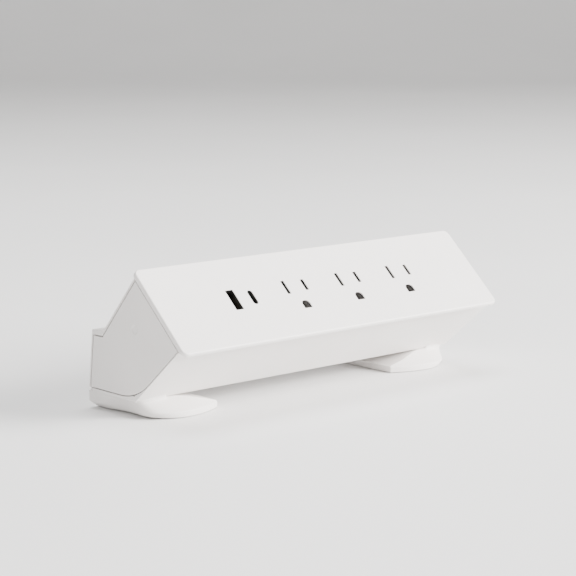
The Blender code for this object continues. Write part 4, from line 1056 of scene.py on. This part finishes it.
def make_busbar(name, row, place, clip_row, width, length, pinch):
    bar = stack(f"{name}_strip", [along_x(rounded_rectangle((row, (BAR_TOP + BAR_BASE) / 2),
                                                            BAR_WIDTH - 2 * trim,
                                                            BAR_THICK - 2 * trim, 0.2, 3), x)
                                  for trim, x in ((0.15, BAR_START), (0, BAR_START + 0.3), (0, BAR_END - 0.3),
                                                  (0.15, BAR_END))], ON_PLATE)
    tabs = []
    for centre in OUTLETS:
        x = centre + place * BLADE_SPACING / 2
        low, high = sorted((row, clip_row))
        low -= length / 2 if clip_row < row else 0
        high += length / 2 if clip_row >= row else 0
        tabs.append(rounded_slab("tab", (x, (low + high) / 2), (width, high - low), 0.4, BAR_BASE + 0.05,
                                 BAR_TOP - 0.05, 0.1, 0.1))
        tabs.append(leaf_clip(x, clip_row, width, length, pinch))
    join(bar, *tabs)
    settle(bar, BRASS, "contact_brass", name)


def make_tray():
    low_y, high_y = OUTLET_LOW - TRAY_MARGIN, OUTLET_HIGH + TRAY_MARGIN
    low_x = BAR_START - TRAY_WALL - GAP
    high_x = OUTLETS[-1] + OUTLET_WIDTH / 2 + TRAY_MARGIN
    tray = rounded_slab("contact_tray", ((low_x + high_x) / 2, (low_y + high_y) / 2),
                        (high_x - low_x, high_y - low_y),
                        1.0, TRAY_BASE, TRAY_TOP, 0.4, 0.2)
    pocket = rounded_slab("pocket", ((low_x + TRAY_WALL + high_x + 2) / 2, (low_y + high_y) / 2),
                          (high_x + 2 - low_x - TRAY_WALL, high_y - low_y - 2 * TRAY_WALL), 0.5,
                          BAR_BASE - GAP, TRAY_TOP + 1, 0.3, 0.1)
    cut(tray, pocket)
    ears = [rounded_slab("ear", (x, (high_y - TRAY_WALL + y + BOSS_RADIUS) / 2),
                         (2 * BOSS_RADIUS, y + BOSS_RADIUS - high_y + TRAY_WALL), 1.4, TRAY_BASE, TRAY_TOP,
                         0.3, 0.3) for x, y in TRAY_POSTS]
    join(tray, *ears)
    holes = [rod("hole", PILOT_RADIUS, (x, y, TRAY_BASE - 1), (x, y, TRAY_TOP + 1), ON_PLATE, 28)
             for x, y in TRAY_POSTS]
    grooves = [box("groove", (low_x + 6 + 8 * i, low_y + 3, TRAY_BASE - 1), (low_x + 10 + 8 * i, high_y - 3,
               TRAY_BASE + 0.5), ON_PLATE) for i in range(13)]
    cut(tray, *holes, *grooves)
    settle(tray, CARRIER_GREY, "carrier", "busbar_tray")


# ---------------------------------------------------------------- USB charger
def usb_shell(name, port, corner):
    x, y, width, length = port
    mouth = -PORT_LIP - 0.1
    shell = rounded_slab(f"{name}_sleeve", (x, y), (width + 0.8, length + 0.8), corner + 0.4,
                         -BOARD_DEPTH + GAP, mouth,
                         0.1, 0.12)
    tools = [stack("hollow", [along_out(rounded_rectangle((x, y), width - 2 * trim, length - 2 * trim,
                                                          max(corner - trim, 0.1), 5), out)
                              for trim, out in ((0, -BOARD_DEPTH + PORT_BASE), (0, mouth - 0.4),
                                                (-0.12, mouth),
                                                (-0.12, mouth + 1))], ON_PLATE)]
    for side in (-1, 1):
        for place in (-1, 1):
            a, b = x + side * (width / 2 + 0.2), y + place * length / 4
            tools.append(box("latch", (a - 0.5, b - 0.9, UNDER - 7), (a + 0.5, b + 0.9, UNDER - 3.4),
                             ON_PLATE))
    cut(shell, *tools)
    # The darkened nickel is painted shade for the inside of the port mouth
    settle(shell, NICKEL_DARKENED_FOR_PORT_SHADE, "steel", f"{name}_shell")


def make_usb_ports():
    usb_shell("usb_a", USB_A, 0.4)
    usb_shell("usb_c", USB_C, USB_C[2] / 2 - 0.02)
    base, top = -BOARD_DEPTH + PORT_BASE + GAP, -1.8
    x = USB_A[0] - USB_A[2] / 2 + 0.9 + GAP
    tongue = rounded_slab("usb_a_tongue_plastic", (x, USB_A[1]), (1.8, USB_A[3] - 4 * GAP), 0.25, base, top,
                          0.1, 0.25)
    settle(tongue, BLACK_PLASTIC, "black_plastic", "usb_a_tongue")
    contacts = grown("usb_a_contacts", ROW_TREE, BRASS, ON_PLATE, Count=4,
                     Start=(x + 0.9, USB_A[1] - 3.6, top - 3.2), Step=(0, 2.4, 0), Size=(0.12, 1.0, 5.0))
    settle(contacts, BRASS, "contact_brass", "usb_a_tongue")
    tongue = rounded_slab("usb_c_tongue_plastic", (USB_C[0], USB_C[1]), (0.7, USB_C[3] - 2.4), 0.2, base,
                          top, 0.1, 0.2)
    settle(tongue, BLACK_PLASTIC, "black_plastic", "usb_c_tongue")
    contacts = grown("usb_c_contacts", ROW_TREE, BRASS, ON_PLATE, Count=12,
                     Start=(USB_C[0], USB_C[1] - 2.75, top - 2.4), Step=(0, 0.5, 0), Size=(0.8, 0.25, 3.6))
    settle(contacts, BRASS, "contact_brass", "usb_c_tongue")


BOARD_BASE = -BOARD_DEPTH - BOARD_THICK
BOARD_UNDER = BOARD_BASE - GAP


def make_usb_board():
    top, base = -BOARD_DEPTH, BOARD_BASE
    board = rounded_slab("charger_board", ((BOARD_X[0] + BOARD_X[1]) / 2, 0),
                         (BOARD_X[1] - BOARD_X[0], 2 * BOARD_HALF), 1.2, base, top, 0.08, 0.08)
    cut(board, *[rod("hole", PILOT_RADIUS, (x, y, base - 1), (x, y, top + 1), ON_PLATE, 32)
                 for x, y in BOARD_POSTS])
    settle(board, SOLDER_MASK, "circuit_board", "usb_board")
    joints = [("transformer_joints", 5, (-84.5, -6.5, top + 0.3), (3.4, 0, 0)),
              ("winding_joints", 5, (-84.5, 6.0, top + 0.3), (3.4, 0, 0)),
              ("capacitor_joints", 4, (-63.0, 9.5, top + 0.3), (4.0, 0, 0)),
              ("fuse_joints", 2, (-89.5, -6.5, top + 0.3), (0, 13.0, 0))]
    for name, count, start, step in joints:
        item = grown(name, JOINT_TREE, SOLDER, ON_PLATE, Count=count, Start=start, Step=step, Radius=0.8,
                     Height=0.6)
        settle(item, SOLDER, "steel", "usb_board")


def make_transformer():
    """A ferrite core round a taped winding, on five pins."""
    under = BOARD_UNDER
    x, y = -77.5, -0.5
    core = rounded_slab("transformer_core", (x, y), (17, 17), 0.6, under - 14, under - 1.2, 0.4, 0.4)
    sides = [box("side", (x - 9, y + s * 8.5 - 2.6, under - 10.6), (x + 9, y + s * 8.5 + 2.6, under - 4.2),
                 ON_PLATE) for s in (-1, 1)]
    settle(cut(core, *sides), FERRITE, "component_amber", "transformer")
    coil = rounded_slab("transformer_winding", (x, y), (13.6, 16.6), 3.0, under - 10.3, under - 4.5, 0.5, 0.5)
    settle(coil, WINDING, "component_amber", "transformer")
    pins = grown("transformer_pins", ROW_TREE, SOLDER, ON_PLATE, Count=5, Start=(-84.3, y, under - 0.6),
                 Step=(3.4, 0, 0), Size=(0.7, 12.5, 0.9))
    settle(pins, SOLDER, "component_amber", "transformer")


def make_capacitors():
    """Sleeved cans with a crimp near the foot and a scored lid."""
    under = BOARD_UNDER
    for name, x, y, radius, high in (("input_capacitor", -61, 8, 4.0, 15.0),
                                     ("output_capacitor", -50.5, 7.5, 3.2, 11.0)):
        profile = [(radius - 0.3, 0.0), (radius, 0.3), (radius, 1.4), (radius - 0.35, 1.8), (radius, 2.2),
                   (radius, high - 0.6), (radius - 0.2, high - 0.15), (radius - 0.6, high - 0.02),
                   (radius - 0.7, high - 0.3)]
        can = turned(f"{name}_sleeve", profile, (x, y, under), (x, y, under - high), ON_PLATE)
        settle(can, CAN_SLEEVE, "capacitor_can", name)
        lid = turned(f"{name}_lid", [(radius - 0.75, high - 1.0), (radius - 0.75, high - 0.25),
                                     (radius - 1.0, high - 0.12)], (x, y, under), (x, y,
                                                                                   under - high), ON_PLATE)
        vents = [box("vent", (x - a, y - b, under - high - 1), (x + a, y + b, under - high + 0.3), ON_PLATE)
                 for a, b in ((radius * 0.6, 0.15), (0.15, radius * 0.6))]
        settle(cut(lid, *vents), ALUMINIUM, "capacitor_can", name)


def make_control_chip():
    under = BOARD_UNDER
    chip = rounded_slab("control_chip_case", (-59, -4), (10, 4.6), 0.2, under - 1.8, under - 0.3, 0.2, 0.1)
    dot = rod("dot", 0.5, (-55, -5.4, under - 1.9), (-55, -5.4, under - 1.6), ON_PLATE, 24)
    settle(cut(chip, dot), BLACK_PLASTIC, "black_plastic", "control_chip")
    legs = grown("control_chip_legs", ROW_TREE, SOLDER, ON_PLATE, Count=8, Start=(-63.2, -4, under - 0.5),
                 Step=(1.2, 0, 0), Size=(0.45, 6.0, 0.3))
    settle(legs, SOLDER, "black_plastic", "control_chip")


def make_line_fuse():
    height = BOARD_UNDER - 2.6
    fuse = turned("line_fuse_body", [(2.0, 1.6), (2.05, 2.0), (2.05, 8.0), (2.0, 8.4)], (-89.5, -5, height),
                  (-89.5, 5, height), ON_PLATE, 32)
    settle(fuse, FUSE_BODY, "component_amber", "line_fuse")
    for name, place in (("front", -5), ("rear", 3)):
        cap = turned(f"line_fuse_cap_{name}", [(1.9, 0), (2.2, 0.25), (2.2, 1.75), (2.1, 2.0)],
                     (-89.5, place, height), (-89.5, place + 2, height), ON_PLATE, 32)
        settle(cap, PLATED_STEEL, "component_amber", "line_fuse")


# ---------------------------------------------------------------- mains entry
TERMINAL_X = 84.0
TERMINAL_Y = 12.0
TERMINAL_SIZE = (24.0, 12.0, 11.0)
TERMINAL_WELL = 5
WIRE_ENTRY = 4
FLOOR_TOP = FLOOR_HEIGHT + WALL


def make_gland():
    lean = math.radians(REAR_LEAN)
    outer = REAR_Y - (GLAND_HEIGHT - FLOOR_HEIGHT) * math.tan(lean)
    start = outer - WALL - GLAND_INSIDE
    flange = outer - WALL / math.cos(lean) - GLAND_RADIUS * math.tan(lean) - GAP - start
    length = REAR_Y - start
    profile = [(GLAND_NECK - 0.6, 0), (GLAND_NECK, 0.6), (GLAND_NECK, flange - GLAND_FLANGE),
               (GLAND_RADIUS - 0.3, flange - GLAND_FLANGE),
               (GLAND_RADIUS, flange - 2.1), (GLAND_RADIUS, flange - 0.3), (GLAND_RADIUS - 0.3, flange),
               (GLAND_NECK, flange + 0.02)]
    place = flange + 3.8
    while place < length - 1.2:
        profile += [(GLAND_NECK, place), (GLAND_NECK - 0.5, place + 0.1), (GLAND_NECK - 0.5, place + 0.6),
                    (GLAND_NECK, place + 0.7)]
        place += 1.4
    profile += [(GLAND_NECK, length - 0.5), (GLAND_NECK - 0.15, length - 0.15), (GLAND_NECK - 0.5, length)]
    gland = turned("cord_gland_rubber", profile, (GLAND_X, start, GLAND_HEIGHT),
                   (GLAND_X, REAR_Y, GLAND_HEIGHT))
    bore = turned("bore", [(GLAND_BORE + 0.4, -1), (GLAND_BORE + 0.4, 0), (GLAND_BORE, 0.4),
                           (GLAND_BORE, length - 0.6),
                           (GLAND_BORE + 0.6, length), (GLAND_BORE + 0.6, length + 1)],
                  (GLAND_X, start, GLAND_HEIGHT), (GLAND_X, REAR_Y, GLAND_HEIGHT))
    settle(cut(gland, bore), GLAND_RUBBER, "gland_rubber", "cord_gland")


def make_terminals():
    sx, sy, sz = TERMINAL_SIZE
    base, top = FLOOR_TOP + GAP, FLOOR_TOP + GAP + sz
    block = rounded_slab("terminal_housing", (TERMINAL_X, TERMINAL_Y), (sx, sy), 0.8, base, top, 0.3, 0.4,
                         None)
    tools = []
    for number, offset in enumerate((-1, 0, 1), 1):
        x = TERMINAL_X + offset * sx / 3
        tools.append(turned("well", [(3.0, 0), (3.0, 4.6), (3.3, 5.0), (3.3, 6)],
                            (x, TERMINAL_Y, top - TERMINAL_WELL),
                            (x, TERMINAL_Y, top + 1), None, 36))
        tools.append(turned("entry", [(2.2, -1), (2.2, 0), (1.4, 1.2), (1.4, 4.0)],
                            (x, TERMINAL_Y - sy / 2, FLOOR_TOP + WIRE_ENTRY),
                            (x, TERMINAL_Y, FLOOR_TOP + WIRE_ENTRY), None, 32))
        make_screw(f"terminal_screw_{number}", (x, TERMINAL_Y, top - TERMINAL_WELL + GAP), (0, 0, 1), 1.5)
    for offset in (-0.5, 0.5):
        x = TERMINAL_X + offset * sx / 3
        tools.append(box("split", (x - 0.4, TERMINAL_Y - sy, top - 2.2), (x + 0.4, TERMINAL_Y + sy, top + 1)))
    cut(block, *tools)
    settle(block, BLACK_PLASTIC, "black_plastic", "terminal_block")


def make_cord_clamp():
    base = GLAND_HEIGHT - GLAND_BORE
    clamp = rounded_slab("cord_clamp_bar", (CLAMP_X, CLAMP_Y), (22, 7), 1.4, base, base + CLAMP_HIGH, 0.3,
                         0.4, None)
    tools = [rod("saddle", GLAND_BORE - 0.6, (CLAMP_X, CLAMP_Y - 5, base - 0.4),
                 (CLAMP_X, CLAMP_Y + 5, base - 0.4))]
    for x in (CLAMP_X - CLAMP_REACH, CLAMP_X + CLAMP_REACH):
        tools.append(rod("hole", PILOT_RADIUS, (x, CLAMP_Y, base - 1), (x, CLAMP_Y, base + 6), None, 28))
    cut(clamp, *tools)
    settle(clamp, CARRIER_GREY, "carrier", "cord_clamp")
    for name, x in (("low", CLAMP_X - CLAMP_REACH), ("high", CLAMP_X + CLAMP_REACH)):
        make_screw(f"clamp_screw_{name}", (x, CLAMP_Y, base + CLAMP_HIGH + GAP), (0, 0, 1), 7.0)


def make_screws():
    for name, places, height, length, on_plate in (
            ("cover", COVER_SCREWS, FLOOR_HEIGHT + SCREW_SINK - GAP, 12.0, False),
            ("tray", TRAY_POSTS, TRAY_BASE - GAP, 8.0, True), ("board", BOARD_POSTS, BOARD_UNDER, 8.0, True)):
        for number, (x, y) in enumerate(places, 1):
            make_screw(f"{name}_screw_{number}", (x, y, height), (0, 0, -1), length, on_plate)


def smooth_route(points, steps=14):
    """A smooth curve through a list of points."""
    knots = [Vector(p) for p in points]
    knots = [2 * knots[0] - knots[1]] + knots + [2 * knots[-1] - knots[-2]]
    route = []
    for a, b, c, d in zip(knots, knots[1:], knots[2:], knots[3:]):
        for i in range(steps):
            t = i / steps
            route.append(0.5 * (2 * b + (c - a) * t + (2 * a - 5 * b + 4 * c - d) * t ** 2
                                + (3 * b - a - 3 * c + d) * t ** 3))
    return route + [knots[-2]]


def make_lead(name, points, radius, material, slot, space=None):
    curve = bpy.data.curves.new(name, "CURVE")
    curve.dimensions = "3D"
    curve.bevel_depth = radius
    curve.bevel_resolution = 5
    curve.use_fill_caps = True
    route = smooth_route(points)
    spline = curve.splines.new("POLY")
    spline.points.add(len(route) - 1)
    for point, place in zip(spline.points, route):
        point.co = (*place, 1)
    guide = bpy.data.objects.new(name + "_guide", curve)
    show(guide)
    shape = bmesh.new()
    shape.from_mesh(evaluated(guide))
    remove(guide)
    if space:
        shape.transform(space)
    settle(to_object(shape, f"{name}_sheath"), material, slot, name, sharp=50)


def make_leads():
    """Leads from the terminals to the bars, and from the bars to the charger."""
    sy = TERMINAL_SIZE[1]
    for name, row, offset, material, slot in (
            ("live_lead", LIVE_BAR, 1, BLACK_SHEATH, "black_insulation"),
            ("ground_lead", GROUND_BAR, 0, GREEN_SHEATH, "green_insulation"),
            ("neutral_lead", NEUTRAL_BAR, -1, WHITE_SHEATH, "white_insulation")):
        x = TERMINAL_X + offset * TERMINAL_SIZE[0] / 3
        y_bar, z_bar = on_plate_section(row, BAR_TOP - BAR_THICK / 2)
        front = TERMINAL_Y - sy / 2
        make_lead(name, [(x, front + 1.5, FLOOR_TOP + WIRE_ENTRY), (x, front - 3, FLOOR_TOP + 4.4),
                         (x - 1, front - 6 - 2 * offset, FLOOR_TOP + 9), (x - 1, y_bar + 3, z_bar - 8),
                         (BAR_END + 5, y_bar + 0.5, z_bar - 1), (BAR_END + GAP, y_bar,
                                                                 z_bar)], 1.1, material, slot)
    for name, row, board_row, material, slot in (
            ("charger_live_lead", LIVE_BAR, -11, BLACK_SHEATH, "black_insulation"),
            ("charger_neutral_lead", NEUTRAL_BAR, 12, WHITE_SHEATH, "white_insulation")):
        level = BAR_BASE - GAP - 2.0
        end = BOARD_UNDER
        reach = BOARD_X[1] - 4
        make_lead(name, [(reach - 3, board_row, end), (reach - 3, board_row, end - 5),
                         (reach + 1, (row + board_row) / 2, level - 2), (BAR_START - 4.5, row,
                                                                         BAR_BASE - 1.5),
                         (BAR_START - TRAY_WALL - 2 * GAP, row, BAR_BASE)], 0.77, material, slot, ON_PLATE)


make_face_plate()
make_lower_housing()
make_rear_cover()
for side_name, side_sign in (("left", -1), ("right", 1)):
    make_end_cap(side_name, side_sign)
    make_foot_pad(side_name, side_sign)
for outlet_number, outlet_centre in enumerate(OUTLETS, 1):
    make_outlet_body(outlet_number, outlet_centre)
    make_shutter(outlet_number, outlet_centre)
    make_spring(outlet_number, outlet_centre)
make_busbar("neutral_busbar", NEUTRAL_BAR, -1, BLADE_ROW, 4.6, 6.6, 0.6)
make_busbar("live_busbar", LIVE_BAR, 1, BLADE_ROW, 4.6, 6.6, 0.6)
make_busbar("ground_busbar", GROUND_BAR, 0, GROUND_ROW, 5.6, 5.0, 1.7)
make_tray()
make_usb_ports()
make_usb_board()
make_transformer()
make_capacitors()
make_control_chip()
make_line_fuse()
make_gland()
make_terminals()
make_cord_clamp()
make_screws()
make_leads()


# ---------------------------------------------------------------- floor and light
def pale_ground():
    finish, add, shader, place = new_finish("pale_ground")
    cloud = remap(add, noise(add, place, 3), 0, 1)
    fill(shader, Base_Color=blend_colours(add, cloud, (0.80, 0.795, 0.79), (0.83, 0.825, 0.82)),
         Roughness=remap(add, noise(add, place, 300), 0.55, 0.7))
    return finish


def make_floor():
    """A floor that sweeps up behind the object."""
    shape = bmesh.new()
    profile = [(-6, 0)] + [(3 + 2.0 * math.sin(math.radians(a)), 2.0 - 2.0 * math.cos(math.radians(a)))
                           for a in range(0, 91, 6)] + [(5, 9)]
    rows = [[shape.verts.new((x, y, z)) for x in (-9, 9)] for y, z in profile]
    for a, b in zip(rows, rows[1:]):
        shape.faces.new((a[0], a[1], b[1], b[0]))
    shape.transform(Matrix.Rotation(math.radians(-CAMERA_TURN), 4, "Z"))
    mesh = bpy.data.meshes.new("floor")
    shape.to_mesh(mesh)
    shape.free()
    mesh.shade_smooth()
    mesh.materials.append(pale_ground())
    floor = bpy.data.objects.new("floor", mesh)
    show(floor)


def area_light(name, place, aim, size, power, colour=(1, 1, 1)):
    light = bpy.data.lights.new(name, "AREA")
    light.shape = "RECTANGLE"
    light.size, light.size_y = size
    light.energy = power
    light.color = colour
    lamp = bpy.data.objects.new(name, light)
    lamp.location = place
    lamp.rotation_euler = (Vector(aim) - Vector(place)).to_track_quat("-Z", "Y").to_euler()
    show(lamp)


make_floor()
AIM = (0, 0, 0.03)
area_light("key", (1.3, -1.7, 0.9), AIM, (1.3, 1.0), 230, (1.0, 0.985, 0.97))
area_light("fill", (-1.6, -0.6, 0.9), AIM, (1.2, 1.2), 9, (0.97, 0.985, 1.0))
area_light("top", (0.1, 0.3, 1.9), AIM, (1.4, 1.2), 48)
world = bpy.data.worlds.new("studio")
bpy.context.scene.world = world
world.use_nodes = True
world.node_tree.nodes["Background"].inputs["Color"].default_value = (1.0, 0.99, 0.98, 1)
world.node_tree.nodes["Background"].inputs["Strength"].default_value = 0.55
